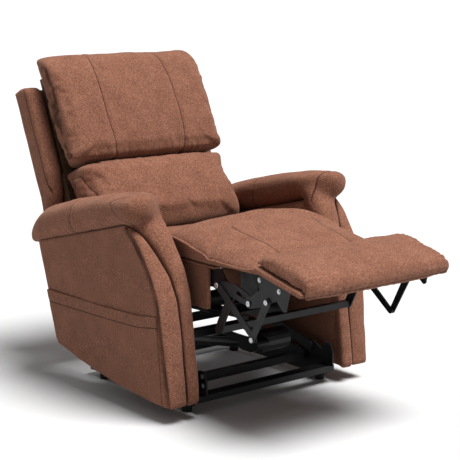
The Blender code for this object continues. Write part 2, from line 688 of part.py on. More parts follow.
def build_back(fabric, board, steel):
    rear = BACK_BOARD_FRONT - BACK_BOARD_THICK
    outline = [on_back(rear, -0.050), on_back(BACK_BOARD_FRONT, -0.050),
               on_back(BACK_BOARD_FRONT, HEAD_PIVOT_UP - GAP), on_back(rear, HEAD_PIVOT_UP - GAP)]
    lever_roots = [disc(on_back(BACK_BOARD_FRONT - 0.008, -0.040), 0.006),
                   disc(on_back(BACK_BOARD_FRONT - 0.030, -0.036), 0.006)]
    back = combine(across(outline, BACK_HALF_WIDTH), ears(BACK_LEVER, lever_roots, BACK_MOTOR_X))
    add_piece("back_board", "back", back, board)
    lug_rear = BACK_BOARD_FRONT + GAP + 0.0055
    for side_name, side in SIDES:
        outline = hull([disc(BACK_PIVOT, HUB), disc(on_back(lug_rear, 0.006), 0.0055),
                        disc(on_back(lug_rear, -0.038), 0.0055)])
        lug = plate(outline, LUG_LAYER, side, holes=(pin_hole(BACK_PIVOT),))
        add_piece("back_lug_" + side_name, "back", lug, steel)
        outline = [on_back(SHELL_REAR, WING_TOE), on_back(SHELL_REAR + 0.018, WING_TOE + 0.010),
                   on_back(-0.150, WING_BOTTOM - 0.040), on_back(-0.125, WING_BOTTOM),
                   on_back(BACK_BOARD_FRONT, WING_BOTTOM + 0.080),
                   on_back(BACK_BOARD_FRONT, SHELL_TOP - 0.018), on_back(-0.120, SHELL_TOP - 0.002),
                   on_back(-0.150, SHELL_TOP + 0.005), on_back(SHELL_REAR, SHELL_TOP + 0.004)]
        inner = BACK_HALF_WIDTH + GAP
        wing = plate(outline, (inner, WING_OUTER - inner), side)
        add_piece("wing_" + side_name, "back", wing, fabric)
    outline = [on_back(SHELL_REAR, SHELL_BOTTOM), on_back(SHELL_FRONT, SHELL_BOTTOM),
               on_back(SHELL_FRONT, SHELL_TOP), on_back(SHELL_REAR, SHELL_TOP)]
    add_piece("back_shell", "back", across(outline, BACK_HALF_WIDTH), fabric)
    behind = BACK_BOARD_FRONT + GAP
    shape = [(behind, 0.022, 0, 1.0), (-0.020, 0.022, 0, 1.0), (0.030, 0.023, 0, 1.0),
             (0.052, 0.033, 0.2, 1.0), (0.060, 0.070, 1, 1.0), (0.057, 0.120, 1, 1.0),
             (0.047, 0.180, 1, 1.0), (0.030, 0.230, 0.8, 1.01), (0.008, 0.262, 0.4, 1.06),
             (-0.030, 0.279, 0, 1.09), (-0.075, 0.284, 0, 1.09), (behind, 0.284, 0, 1.08),
             (behind, 0.232, 0, 1.0)]
    add_piece("lumbar_cushion", "back", back_cushion(shape, BACK_HALF_WIDTH), fabric, smooth=True)
    outline = [on_back(BACK_BOARD_FRONT - HEAD_BOARD_THICK, HEAD_PIVOT_UP + GAP),
               on_back(BACK_BOARD_FRONT, HEAD_PIVOT_UP + GAP), on_back(BACK_BOARD_FRONT, HEAD_BOARD_TOP),
               on_back(BACK_BOARD_FRONT - HEAD_BOARD_THICK, HEAD_BOARD_TOP)]
    add_piece("headrest_board", "headrest", across(outline, BACK_HALF_WIDTH - HEAD_BOARD_INSET), board)
    shape = [(behind, 0.296, 0, 0.90), (-0.085, 0.296, 0, 0.92), (-0.056, 0.306, 0, 0.95),
             (-0.022, 0.322, 0, 0.99), (0.002, 0.350, 0.5, 1.0), (0.013, 0.410, 1, 1.0),
             (0.011, 0.490, 1, 1.0), (0.000, 0.570, 1, 0.98), (-0.018, 0.630, 0.7, 0.96),
             (-0.043, 0.670, 0.4, 0.94), (-0.075, 0.690, 0.1, 0.91), (behind, 0.690, 0, 0.90),
             (behind, 0.500, 0, 0.90)]
    add_piece("head_pillow", "headrest", back_cushion(shape, PILLOW_HALF_WIDTH, seams=(0.195,)),
              fabric, smooth=True)


def back_cushion(shape, half_width, seams=()):
    """A cushion on the back from (forward, up, softness, share of the width) rows."""
    profile = [(*on_back(front, up), soft) for front, up, soft, _ in shape]
    return cushion(profile, half_width, 0.022, 0.012, seams=seams,
                   width_at=[wide for _, _, _, wide in shape])


# ---- footrest and its linkage -----------------------------------------------------------------

def build_footrest(fabric, steel):
    outline = [on_board(0.0, 0.0), on_board(BOARD_LENGTH, 0.0),
               on_board(BOARD_LENGTH, BOARD_THICK), on_board(0.0, BOARD_THICK)]
    add_piece("footrest_board", "footrest", across(outline, FOOT_BOARD_HALF_WIDTH), fabric)
    low = BOARD_THICK + GAP
    end = BOARD_LENGTH + GAP
    top = BOARD_THICK + PAD_THICK
    shape = [(0.004, low, 0), (end, low, 0), (end, -0.002, 0), (end + 0.004, -0.005, 0),
             (end + 0.016, -0.002, 0), (end + 0.022, 0.010, 0.2), (end + 0.023, 0.027, 0.5),
             (end + 0.018, top - 0.006, 0.8), (end, top, 1), (0.150, top + 0.001, 1),
             (0.080, top, 1), (0.030, top - 0.003, 0.8), (0.008, top - 0.012, 0.4),
             (-0.001, low + 0.006, 0)]
    profile = [(*on_board(forward, up), soft) for forward, up, soft in shape]
    pad = cushion(profile, FOOT_PAD_HALF_WIDTH, 0.012, 0.006)
    add_piece("footrest_pad", "footrest", pad, fabric, smooth=True)
    for side_name, side in SIDES:
        add_piece("footrest_bracket_" + side_name, "footrest", footrest_bracket(side), steel)


def footrest_bracket(side):
    """Plate under the footrest board, from the ottoman link's pin to the front tab."""
    under = -GAP
    tab = on_board(0.140, -0.056)
    outline = [on_board(0.020, under), on_board(0.030, -0.045),
               *arc(BRACKET_PIVOT, HUB, 30, -110),
               *arc(LEG_TOP, 0.013, 250, 300, 2),
               on_board(0.105, -0.046), *arc(tab, 0.009, 320, 160),
               on_board(0.150, under)]
    return plate(outline, BRACKET_LAYER, side, holes=(pin_hole(BRACKET_PIVOT),),
                 studs=((LEG_TOP, sum(FRONT_LEG_LAYER) + PIN_PROUD),))


def build_linkage(steel):
    slot = hull([(-0.152, 0.413, 0.006), (-0.186, 0.405, 0.006)], 12)
    for side_name, side in SIDES:
        outline = hull([disc(LINK_PIVOT, HUB), (-0.140, 0.414, 0.022), disc(BRACKET_PIVOT, 0.016)])
        link = plate(outline, LINK_LAYER, side, holes=(slot,),
                     studs=((LINK_PIVOT, RECLINER_LAYER[0] - PIN_PROUD,
                             sum(REAR_LEG_LAYER) + PIN_PROUD),
                            (BRACKET_PIVOT, sum(BRACKET_LAYER) + PIN_PROUD),
                            (DRIVE_TOP, DRIVE_LAYER[0] - PIN_PROUD)))
        add_piece("ottoman_link_" + side_name, "ottoman", link, steel)
        outline = hull([disc(LINK_PIVOT, 0.0125), disc(KNEE, 0.010)])
        leg = plate(outline, REAR_LEG_LAYER, side, holes=(pin_hole(LINK_PIVOT),))
        add_piece("rear_leg_" + side_name, "rear_leg", leg, steel)
        outline = hull([disc(LEG_TOP, 0.0125), disc(KNEE, 0.010)])
        leg = plate(outline, FRONT_LEG_LAYER, side, holes=(pin_hole(LEG_TOP),),
                    studs=((KNEE, sum(REAR_LEG_LAYER) + GAP),))
        add_piece("front_leg_" + side_name, "front_leg", leg, steel)
        outline = hull([disc(DRIVE_TOP, 0.013), disc(DRIVE_TUBE, 0.015)])
        link = plate(outline, DRIVE_LAYER, side, holes=(pin_hole(DRIVE_TOP),))
        add_piece("drive_link_" + side_name, "drive", link, steel)
    tube = cross_tube(DRIVE_TUBE, DRIVE_TUBE_SIZE, DRIVE_LAYER[0] - GAP)
    tube = combine(tube, ears(FOOT_ROD_END, [disc(DRIVE_TUBE, 0.006)], FOOT_MOTOR_X))
    add_piece("drive_tube", "drive", tube, steel)


# ---- actuators --------------------------------------------------------------------------------

def build_actuator(name, tail, eye, x, can, tube_end, rod_start, materials):
    """Motor, gearbox and outer tube on one body, and the rod with its eye on another.

    can: (radius, length) of the motor, which lies across the chair; its length is signed.
    """
    steel, silver = materials
    run = Vector(eye) - Vector(tail)
    turn = Matrix.Translation((x, *tail)) @ Matrix.Rotation(math.atan2(run.y, run.x), 4, "X")
    block = plate(hull([(0.0, 0.0, EYE_RADIUS), (0.035, 0.0, 0.026), (0.070, 0.0, 0.020)]),
                  (-GEARBOX_HALF, 2 * GEARBOX_HALF), 1, holes=(pin_hole((0.0, 0.0)),))
    radius, length = can
    ends = sorted((math.copysign(GEARBOX_HALF - 0.004, length), length))
    motor = cylinder(radius, (ends[0], 0.047, 0.0), (ends[1], 0.047, 0.0), "X")
    tube = cylinder(ACTUATOR_TUBE, (0.0, 0.080, 0.0), (0.0, tube_end, 0.0), "Y")
    bore = cylinder(ACTUATOR_ROD + 2 * GAP, (0.0, 0.085, 0.0), (0.0, tube_end + 0.01, 0.0), "Y")
    housing = combine(combine(block, [motor, tube]), [bore], "DIFFERENCE")
    bmesh.ops.transform(housing, matrix=turn, verts=housing.verts)
    add_piece(name + "_motor", name + "_motor", housing, steel, smooth=True)
    reach = run.length
    rod = cylinder(ACTUATOR_ROD, (0.0, rod_start, 0.0), (0.0, reach - 0.004, 0.0), "Y")
    head = cylinder(EYE_RADIUS, (-EYE_WIDTH / 2, reach, 0.0), (EYE_WIDTH / 2, reach, 0.0), "X")
    rod = combine(rod, [head])
    bmesh.ops.transform(rod, matrix=turn, verts=rod.verts)
    add_piece(name + "_rod", name + "_rod", rod, silver, smooth=True)



def build_actuators(steel, silver):
    looks = (steel, silver)
    build_actuator("lift", LIFT_MOTOR, LIFT_ROD_END, LIFT_MOTOR_X, (0.036, 0.130), 0.460, 0.240, looks)
    build_actuator("footrest", FOOT_MOTOR, FOOT_ROD_END, FOOT_MOTOR_X, (0.028, 0.092), 0.262, 0.206,
                   looks)
    build_actuator("back", BACK_MOTOR, BACK_LEVER, BACK_MOTOR_X, (0.028, -0.092), 0.205, 0.145, looks)


# ---- assembly ---------------------------------------------------------------------------------

def add_bodies():
    add_body("base", (0.0, 0.0))
    add_body("lift", LIFT_PIVOT, "base")
    add_body("guide", GUIDE_PIVOT, "base")
    add_body("chair", CHAIR_PIVOT, "lift")
    add_body("back", BACK_PIVOT, "chair")
    add_body("headrest", HEAD_PIVOT, "back")
    add_body("chaise", CHAISE_PIVOT, "chair")
    add_body("ottoman", LINK_PIVOT, "chair")
    add_body("rear_leg", LINK_PIVOT, "chair")
    add_body("footrest", BRACKET_PIVOT, "ottoman")
    add_body("front_leg", LEG_TOP, "footrest")
    add_body("drive", DRIVE_TOP, "ottoman")
    for name, pivot, end, x in (("lift", LIFT_MOTOR, LIFT_ROD_END, LIFT_MOTOR_X),
                                ("footrest", FOOT_MOTOR, FOOT_ROD_END, FOOT_MOTOR_X),
                                ("back", BACK_MOTOR, BACK_LEVER, BACK_MOTOR_X)):
        add_body(name + "_motor", pivot, "chair", x)
        add_body(name + "_rod", end, name + "_motor", x)


def centre_on_origin():
    """Move the whole chair along Y so that the origin is under the middle of its outline."""
    bpy.context.view_layer.update()
    reach = [(obj.matrix_world @ Vector(corner)).y
             for obj in bpy.data.objects if obj.type == "MESH" for corner in obj.bound_box]
    BODIES["base"][0].location.y = -(min(reach) + max(reach)) / 2
    bpy.context.view_layer.update()


def main():
    clear_scene()
    fabric = material("brown_microfibre", (0.24, 0.115, 0.075), 0.92)
    steel = material("black_steel", (0.018, 0.018, 0.020), 0.45, 0.6)
    silver = material("plated_steel", (0.55, 0.55, 0.56), 0.30, 1.0)
    rubber = material("black_rubber", (0.015, 0.015, 0.015), 0.85)
    plastic = material("black_plastic", (0.02, 0.02, 0.02), 0.50)
    board = material("plywood", (0.42, 0.29, 0.17), 0.75)
    add_bodies()
    build_base(steel, rubber)
    build_lift(steel)
    build_frame(steel, fabric, board, plastic)
    build_arms(fabric)
    build_seat(fabric)
    build_back(fabric, board, steel)
    build_footrest(fabric, steel)
    build_linkage(steel)
    build_actuators(steel, silver)
    centre_on_origin()
    for name, (empty, _) in BODIES.items():
        print(name, "turns about", [round(value, 5) for value in empty.matrix_world.translation])


if __name__ == "__main__":
    main()
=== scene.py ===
"""Lift recliner chair: upholstery, mechanism details, finishes, floor, light and camera.

Side-view places are (y, z) pairs in metres, with y = 0 under the arms' lower front corner and
z = 0 the floor. The sitter faces -Y, and +X is the sitter's left.
"""
import json
import math

import bmesh
import bpy
from mathutils import Matrix, Vector, noise


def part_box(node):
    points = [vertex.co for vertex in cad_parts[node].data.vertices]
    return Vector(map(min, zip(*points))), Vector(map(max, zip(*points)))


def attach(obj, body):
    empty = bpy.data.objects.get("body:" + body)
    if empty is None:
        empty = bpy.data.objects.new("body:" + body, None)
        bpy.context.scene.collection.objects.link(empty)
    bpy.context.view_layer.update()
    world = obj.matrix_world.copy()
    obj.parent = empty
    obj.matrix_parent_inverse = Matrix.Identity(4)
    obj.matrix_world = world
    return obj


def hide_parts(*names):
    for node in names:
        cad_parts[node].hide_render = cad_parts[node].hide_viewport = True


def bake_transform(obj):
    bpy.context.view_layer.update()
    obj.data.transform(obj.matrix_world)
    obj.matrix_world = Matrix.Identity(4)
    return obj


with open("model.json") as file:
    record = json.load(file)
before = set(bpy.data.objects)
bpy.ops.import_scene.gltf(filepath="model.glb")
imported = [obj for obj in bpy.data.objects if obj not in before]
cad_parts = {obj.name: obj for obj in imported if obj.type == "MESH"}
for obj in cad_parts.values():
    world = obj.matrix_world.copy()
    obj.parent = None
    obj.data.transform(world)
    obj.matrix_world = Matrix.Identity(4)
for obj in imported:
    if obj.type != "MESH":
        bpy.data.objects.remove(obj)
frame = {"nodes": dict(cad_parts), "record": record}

bl_info = {
    "name": "Lift recliner dressing",
    "version": (1, 0, 0),
    "blender": (4, 5, 0),
    "location": "3D View > Sidebar > Recliner",
    "description": "Upholstery, fasteners and finishes for a jointed lift recliner chair",
    "category": "Object",
}

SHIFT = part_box("base_front_tube")[0].y - 0.020      # from y in side view to the frame's Y
SIDES = (("left", 1), ("right", -1))
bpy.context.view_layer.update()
STUFFING_FRAMES = 20        # cloth frames in which a cover is blown up
STUFFING_PRESSURE = 4.0
PIPING = 0.0042             # radius of the welt cord along the seat's sides
SEAM_ZERO = 0.1             # the seam attribute on a sewn line, so that a piece without one, 0, gets no painted seam shade
AWAY = 0.05                 # distance to a seam, in metres, of a point that is clear of all of them
# Patterns, in metres from one patch or grain to the next. Those under a pixel of the usual view are
# drawn as coarse as they need to show.
NAP_PATCH = 0.055
WORN_PATCH = 0.035
ORANGE_PEEL = 0.0025
SPANGLE = 0.006


# ---- settings ---------------------------------------------------------------------------------

def hex_value(name, about, default):
    return bpy.props.StringProperty(name=name, description=about, default=default)


def number(name, about, default, **kind):
    return bpy.props.FloatProperty(name=name, description=about, default=default, **kind)


class FabricSettings(bpy.types.PropertyGroup):
    """The cover's colours and nap."""
    shade: hex_value("Shade", "Colour deep in the pile", "55352A")
    face: hex_value("Face", "Colour of the pile's face", "754D3C")
    tip: hex_value("Tip", "Colour of the fibre tips", "946A58")
    grain: number("Grain", "Size of one tuft of the pile", 0.0031, unit="LENGTH")
    fluff: number("Fluff", "How much the pile catches light at its rim", 0.22, subtype="FACTOR")


class CushionSettings(bpy.types.PropertyGroup):
    """Sizes of the padded pieces."""
    pitch: number("Pitch", "Distance between points of a padded skin", 0.009, unit="LENGTH")
    groove: number("Groove", "Depth of a sewn seam", 0.0035, unit="LENGTH")
    pucker: number("Pucker", "Height of the gathers beside a seam", 0.0030, unit="LENGTH")


class SteelSettings(bpy.types.PropertyGroup):
    """The mechanism's coating and fasteners."""
    # The coat colour is darker than black enamel is: partly its own black, partly painted shade of the
    # mechanism under the seat.
    coat_and_shade: hex_value("Coat", "Colour of the baked black coat", "0B0B0D")
    zinc: hex_value("Zinc", "Colour of the plated fasteners", "C9CBCD")


class StageSettings(bpy.types.PropertyGroup):
    """Floor, light and camera."""
    floor: hex_value("Floor", "Colour of the floor", "BCBCBC")
    key: number("Key", "Strength of the overhead light", 6.2)
    fill: number("Fill", "Strength of the surround", 0.20)


def settings():
    return bpy.context.scene.recliner


class ReclinerSettings(bpy.types.PropertyGroup):
    """All settings of the chair."""
    fabric: bpy.props.PointerProperty(type=FabricSettings)
    cushion: bpy.props.PointerProperty(type=CushionSettings)
    steel: bpy.props.PointerProperty(type=SteelSettings)
    stage: bpy.props.PointerProperty(type=StageSettings)


# ---- materials --------------------------------------------------------------------------------

def linear(hexcode):
    """Linear colour of an sRGB hex value."""
    values = [int(hexcode[i:i + 2], 16) / 255 for i in (0, 2, 4)]
    return tuple(v / 12.92 if v <= 0.04045 else ((v + 0.055) / 1.055) ** 2.4 for v in values) + (1.0,)


def grey(value):
    return (value, value, value, 1.0)


def join(mat, node, links):
    """Fill a node's inputs: each link is (input, value) or (input, source node, its output)."""
    for name, source, *output in links:
        if output:
            mat.node_tree.links.new(source.outputs[output[0]], node.inputs[name])
        else:
            node.inputs[name].default_value = source


def add_node(mat, kind, links=(), stops=(), **sets):
    """A shader node with its settings and links, and the (place, colour) stops that a ramp has."""
    node = mat.node_tree.nodes.new("ShaderNode" + kind)
    for key, value in sets.items():
        setattr(node, key, value)
    join(mat, node, links)
    if stops:
        marks = node.color_ramp.elements
        marks[0].position, marks[0].color = stops[0]
        marks[1].position, marks[1].color = stops[-1]
        for place, colour in stops[1:-1]:
            marks.new(place).color = colour
    return node


def chenille(mat, shader, place):
    """Woven polyester chenille.

    A short cut pile, so it is matt, flecked along its weft and paler at its rim.
    """
    s = settings().fabric
    weft = add_node(mat, "Mapping", [("Vector", place, "Object"), ("Scale", (0.55, 0.9, 1.15))])
    tufts = add_node(mat, "TexNoise", [("Vector", weft, "Vector"), ("Scale", 1 / s.grain),
                                       ("Detail", 1.5), ("Roughness", 0.6)])
    cloud = add_node(mat, "TexNoise", [("Vector", place, "Object"), ("Scale", 1 / NAP_PATCH),
                                       ("Detail", 2.0), ("Roughness", 0.6)])
    whole = add_node(mat, "Math", [(0, cloud, "Fac"), (1, 0.22), (2, tufts, "Fac")],
                     operation="MULTIPLY_ADD")
    colour = add_node(mat, "ValToRGB", [("Fac", whole, "Value")],
                      [(0.38, linear(s.shade)), (0.63, linear(s.face)), (0.90, linear(s.tip))])
    # Painted shade: within about 3 mm of each sewn line the colour is darkened, for the shadow in the seam's
    # groove.
    seam = add_node(mat, "Attribute", attribute_name="seam")
    signed = add_node(mat, "Math", [(0, seam, "Fac"), (1, SEAM_ZERO)], operation="SUBTRACT")
    away = add_node(mat, "Math", [(0, signed, "Value")], operation="ABSOLUTE")
    # The stops of the crease's painted shade are in centimetres from the sewn line.
    wide = add_node(mat, "Math", [(0, away, "Value"), (1, 100.0)], operation="MULTIPLY")
    crease = add_node(mat, "ValToRGB", [("Fac", wide, "Value")],
                      [(0.0, (0.20, 0.17, 0.16, 1)), (0.12, (0.46, 0.42, 0.40, 1)), (0.32, grey(1.0))])
    sewn = add_node(mat, "Mix", [("Factor", 1.0), ("A", colour, "Color"), ("B", crease, "Color")],
                    data_type="RGBA", blend_type="MULTIPLY")
    bump = add_node(mat, "Bump", [("Height", tufts, "Fac"), ("Strength", 0.35), ("Distance", 0.0009)])
    join(mat, shader, [("Roughness", 0.95), ("Sheen Weight", s.fluff), ("Sheen Roughness", 0.5),
                       ("Sheen Tint", linear("E2B9A4")), ("Specular IOR Level", 0.12),
                       ("Base Color", sewn, "Result"), ("Normal", bump, "Normal")])


def black_coat(mat, shader, place):
    """Baked black enamel on rolled steel: satin, with a faint orange peel and rubbed highlights."""
    worn = add_node(mat, "TexNoise", [("Vector", place, "Object"), ("Scale", 1 / WORN_PATCH),
                                      ("Detail", 4.0)])
    # Partly painted shade: the coat colour is set darker than the enamel for the shade under the seat.
    colour = add_node(mat, "ValToRGB", [("Fac", worn, "Fac")],
                      [(0.35, linear(settings().steel.coat_and_shade)), (0.70, linear("151618"))])
    gloss = add_node(mat, "ValToRGB", [("Fac", worn, "Fac")], [(0.30, grey(0.34)), (0.75, grey(0.55))])
    peel = add_node(mat, "TexNoise", [("Vector", place, "Object"), ("Scale", 1 / ORANGE_PEEL)])
    bump = add_node(mat, "Bump", [("Height", peel, "Fac"), ("Strength", 0.12), ("Distance", 0.0004)])
    join(mat, shader, [("Metallic", 0.0), ("IOR", 1.36), ("Coat Weight", 0.03),
                       ("Base Color", colour, "Color"), ("Roughness", gloss, "Color"),
                       ("Normal", bump, "Normal")])


def plated(mat, shader, place):
    """Zinc-plated steel: bright, with the cloudy spangle of the bath."""
    cloud = add_node(mat, "TexNoise", [("Vector", place, "Object"), ("Scale", 1 / SPANGLE),
                                       ("Detail", 3.0)])
    colour = add_node(mat, "ValToRGB", [("Fac", cloud, "Fac")],
                      [(0.3, linear("9EA1A4")), (0.7, linear(settings().steel.zinc))])
    gloss = add_node(mat, "ValToRGB", [("Fac", cloud, "Fac")], [(0.3, grey(0.42)), (0.7, grey(0.24))])
    join(mat, shader, [("Metallic", 1.0), ("Base Color", colour, "Color"), ("Roughness", gloss, "Color")])


def moulded(mat, shader, place, colour, roughness, grain):
    """Moulded rubber or plastic with the fine spark grain of its tool."""
    speck = add_node(mat, "TexNoise", [("Vector", place, "Object"), ("Scale", 1 / grain), ("Detail", 3.0)])
    base = linear(colour)
    tint = add_node(mat, "ValToRGB", [("Fac", speck, "Fac")],
                    [(0.3, base), (0.7, tuple(v * 1.5 for v in base[:3]) + (1.0,))])
    bump = add_node(mat, "Bump", [("Height", speck, "Fac"), ("Strength", 0.2), ("Distance", 0.0003)])
    join(mat, shader, [("Roughness", roughness), ("IOR", 1.48), ("Base Color", tint, "Color"),
                       ("Normal", bump, "Normal")])


def plywood(mat, shader, place):
    """Rotary-cut plywood, stained dark: long grain along the sheet."""
    along = add_node(mat, "Mapping", [("Vector", place, "Object"), ("Scale", (4.0, 60.0, 60.0))])
    grain = add_node(mat, "TexNoise", [("Vector", along, "Vector"), ("Scale", 2.0),
                                       ("Detail", 5.0), ("Distortion", 0.6)])
    colour = add_node(mat, "ValToRGB", [("Fac", grain, "Fac")],
                      [(0.3, linear("3A291C")), (0.7, linear("59412C"))])
    join(mat, shader, [("Roughness", 0.7), ("Base Color", colour, "Color")])


def pale_floor(mat, shader, place):
    """Painted floor, matt and almost even."""
    grain = add_node(mat, "TexNoise", [("Vector", place, "Object"), ("Scale", 3.0)])
    tone = add_node(mat, "ValToRGB", [("Fac", grain, "Fac")],
                    [(0.2, linear(settings().stage.floor)), (0.8, linear("C0C0C0"))])
    join(mat, shader, [("Roughness", 0.9), ("Base Color", tone, "Color")])


# Slot of the record: name of its material, the function that fills it, and what that needs to know
FINISHES = {"brown_microfibre": ("chenille", chenille), "black_steel": ("black_enamel", black_coat),
            "plated_steel": ("zinc_plate", plated), "plywood": ("plywood_sheet", plywood),
            "black_rubber": ("moulded_rubber", moulded, "161616", 0.80, 0.0015),
            "black_plastic": ("moulded_abs", moulded, "17181A", 0.48, 0.0010),
            "floor": ("pale_floor", pale_floor)}


def finish(mesh, slot):
    """Give a mesh its slot's material, which is made the first time."""
    name, fill, *facts = FINISHES[slot]
    mat = bpy.data.materials.get(name)
    if not mat:
        mat = bpy.data.materials.new(name)
        mat.use_nodes = True
        fill(mat, mat.node_tree.nodes["Principled BSDF"], add_node(mat, "TexCoord"), *facts)
    mesh.materials.append(mat)


# ---- outlines and skins -----------------------------------------------------------------------

def at(x, y, z):
    """World place of a side-view place."""
    return Vector((x, y + SHIFT, z))


def heading(degrees):
    """Side-view direction, by its angle up from +Y."""
    return Vector((math.cos(math.radians(degrees)), math.sin(math.radians(degrees))))


def clamp(value):
    return min(1.0, max(0.0, value))


def turns(line):
    """Each point of a closed line with the next one."""
    return zip(line, line[1:] + line[:1])


def divided(corners, count):
    """A closed line with each side cut into `count` equal parts."""
    return [a.lerp(b, t / count) for a, b in turns(corners) for t in range(count)]


def smooth_line(points, closed, steps=12):
    """Dense points on a Catmull-Rom line through the given ones."""
    points = [Vector(p) for p in points]
    n = len(points)
    spans = n if closed else n - 1
    line = []
    for i in range(spans):
        a, b, c, d = (points[(i + k) % n] if closed else points[min(max(i + k, 0), n - 1)]
                      for k in (-1, 0, 1, 2))
        for j in range(steps):
            t = j / steps
            line.append(0.5 * (2 * b + (c - a) * t + (2 * a - 5 * b + 4 * c - d) * t * t
                               + (3 * b - a - 3 * c + d) * t ** 3))
    if not closed:
        line.append(points[-1])
    return line


def resample(line, count, closed):
    """`count` points evenly spaced along a dense line."""
    pairs = list(zip(line, line[1:] + line[:1] if closed else line[1:]))
    lengths = [(b - a).length for a, b in pairs]
    total = sum(lengths)
    out, walked, k = [], 0.0, 0
    for i in range(count):
        goal = total * i / (count if closed else count - 1)
        while k < len(pairs) - 1 and walked + lengths[k] < goal:
            walked += lengths[k]
            k += 1
        a, b = pairs[k]
        share = (goal - walked) / lengths[k] if lengths[k] else 0.0
        out.append(a.lerp(b, min(1.0, share)))
    return out


def outward(profile):
    """Unit normals of a closed profile, pointing out."""
    area = sum(a.x * b.y - b.x * a.y for a, b in turns(profile))
    sign = 1 if area > 0 else -1
    normals = []
    for i in range(len(profile)):
        run = profile[(i + 1) % len(profile)] - profile[i - 1]
        normals.append(Vector((run.y, -run.x)).normalized() * sign)
    return normals


def skin(rings):
    """A closed bmesh skin through rings of equal point counts, made by extruding the first one."""
    bm = bmesh.new()
    verts = [bm.verts.new(p) for p in rings[0]]
    edges = [bm.edges.new(pair) for pair in turns(verts)]
    first_edges = edges
    for points in rings[1:]:
        out = bmesh.ops.extrude_edge_only(bm, edges=edges)["geom"]
        fresh = {g for g in out if isinstance(g, bmesh.types.BMVert)}
        edges = [g for g in out if isinstance(g, bmesh.types.BMEdge)
                 and g.verts[0] in fresh and g.verts[1] in fresh]
        verts = [next(e.other_vert(v) for e in v.link_edges if e.other_vert(v) in fresh) for v in verts]
        for vert, point in zip(verts, points):
            vert.co = point
    caps = bmesh.ops.holes_fill(bm, edges=first_edges + edges, sides=0)["faces"]
    bmesh.ops.triangulate(bm, faces=caps, quad_method="BEAUTY", ngon_method="BEAUTY")
    bmesh.ops.recalc_face_normals(bm, faces=bm.faces)
    return bm


def soft_noise(place, size, seed=0.0):
    """Smooth noise from -1 to 1, with waves about `size` long."""
    return noise.noise(Vector(place) / size + Vector((seed, seed * 0.7, -seed)))


def bell(value, width):
    return math.exp(-(value / width) ** 2)


def pad_skin(profile, half_width, front_edge, rear_edge, is_front, crown, width_at=None,
             side_bulge=0.004):
    """A padded solid: a closed side-view profile run across the chair.

    is_front tells, for a profile point's normal, how much of the front edge's radius it has, and
    width_at by how much the pad is wider or narrower there.
    """
    pitch = settings().cushion.pitch
    count = int(sum((b - a).length for a, b in turns(profile)) / pitch)
    flat = resample(profile, count, True)
    normals = outward(flat)
    wide = [width_at(p) if width_at else 1.0 for p in flat]
    share = [is_front(n) for n in normals]
    edge = [rear_edge + (front_edge - rear_edge) * s for s in share]
    half_steps = max(6, int(half_width / pitch))
    stations = [half_width * math.sin(math.pi / 2 * i / half_steps) ** 0.82 for i in range(half_steps + 1)]
    centre = sum((Vector(p) for p in flat), Vector((0, 0))) / count

    def ring(x, shrink=0.0):
        points = []
        for i, p in enumerate(flat):
            past = min(1.0, max(0.0, abs(x) - (half_width - edge[i])) / edge[i])
            draw = edge[i] * (1 - math.sqrt(1 - past * past))
            swell = crown * share[i] * (1 - (x / half_width) ** 2)
            q = p + normals[i] * (swell - draw)
            if shrink:
                q = q.lerp(centre, shrink)
            bulge = side_bulge * (1 - (1 - shrink) ** 2) * math.copysign(1, x)
            points.append(at(x * wide[i] + bulge, q.x, q.y))
        return points

    caps = (0.88, 0.68, 0.46, 0.28, 0.14, 0.05)
    rings = [ring(-half_width, s) for s in caps]
    rings += [ring(x) for x in [-v for v in reversed(stations) if v] + stations]
    rings += [ring(half_width, s) for s in reversed(caps)]
    return skin(rings)


def sculpt(bm, move):
    """Shift each point of a skin by what `move` gives for its place and normal."""
    bm.normal_update()
    steps = [move(v.co.copy(), v.normal.copy()) for v in bm.verts]
    for vert, step in zip(bm.verts, steps):
        vert.co += step


def ripple(bm, size, seed, height):
    """Soft unevenness all over a skin."""
    sculpt(bm, lambda p, n: n * soft_noise(p, size, seed) * height)


def relax(bm, verts):
    bmesh.ops.smooth_vert(bm, verts=verts, factor=0.5, use_axis_x=True, use_axis_y=True, use_axis_z=True)


def mark_seam(bm, distance):
    """Keep each point's signed distance to the nearest sewn line, for the cover's painted seam shade."""
    layer = bm.verts.layers.float.get("seam") or bm.verts.layers.float.new("seam")
    for vert in bm.verts:
        vert[layer] = SEAM_ZERO + max(-AWAY, min(AWAY, distance(vert.co)))


def sew(bm, distance, depth=None, width=0.0045):
    """A sewn line: the skin sinks along it and puffs beside it."""
    depth = settings().cushion.groove if depth is None else depth
    mark_seam(bm, distance)

    def sink(p, n):
        puff = 0.3 * bell(abs(distance(p)) - 0.015, 0.008)
        return -n * depth * (bell(distance(p), width) - puff)

    sculpt(bm, sink)


def nearest(*distances):
    """The signed distance whose line is closest."""
    return min(distances, key=abs)


def placed(name, data):
    """A new object in the scene, around a mesh, a light or a camera."""
    obj = bpy.data.objects.new(name, data)
    bpy.context.scene.collection.objects.link(obj)
    return obj


def as_object(bm, name):
    mesh = bpy.data.meshes.new(name)
    bm.to_mesh(mesh)
    bm.free()
    return placed(name, mesh)


def shape_now(obj):
    """A copy of an object's mesh with its modifiers done."""
    seen = obj.evaluated_get(bpy.context.evaluated_depsgraph_get())
    return bpy.data.meshes.new_from_object(seen)


def as_bmesh(mesh, discarded):
    """A bmesh of a mesh, which goes, and so does the object that it was worked out on."""
    old = discarded.data
    bpy.data.objects.remove(discarded)
    bpy.data.meshes.remove(old)
    bm = bmesh.new()
    bm.from_mesh(mesh)
    bpy.data.meshes.remove(mesh)
    return bm


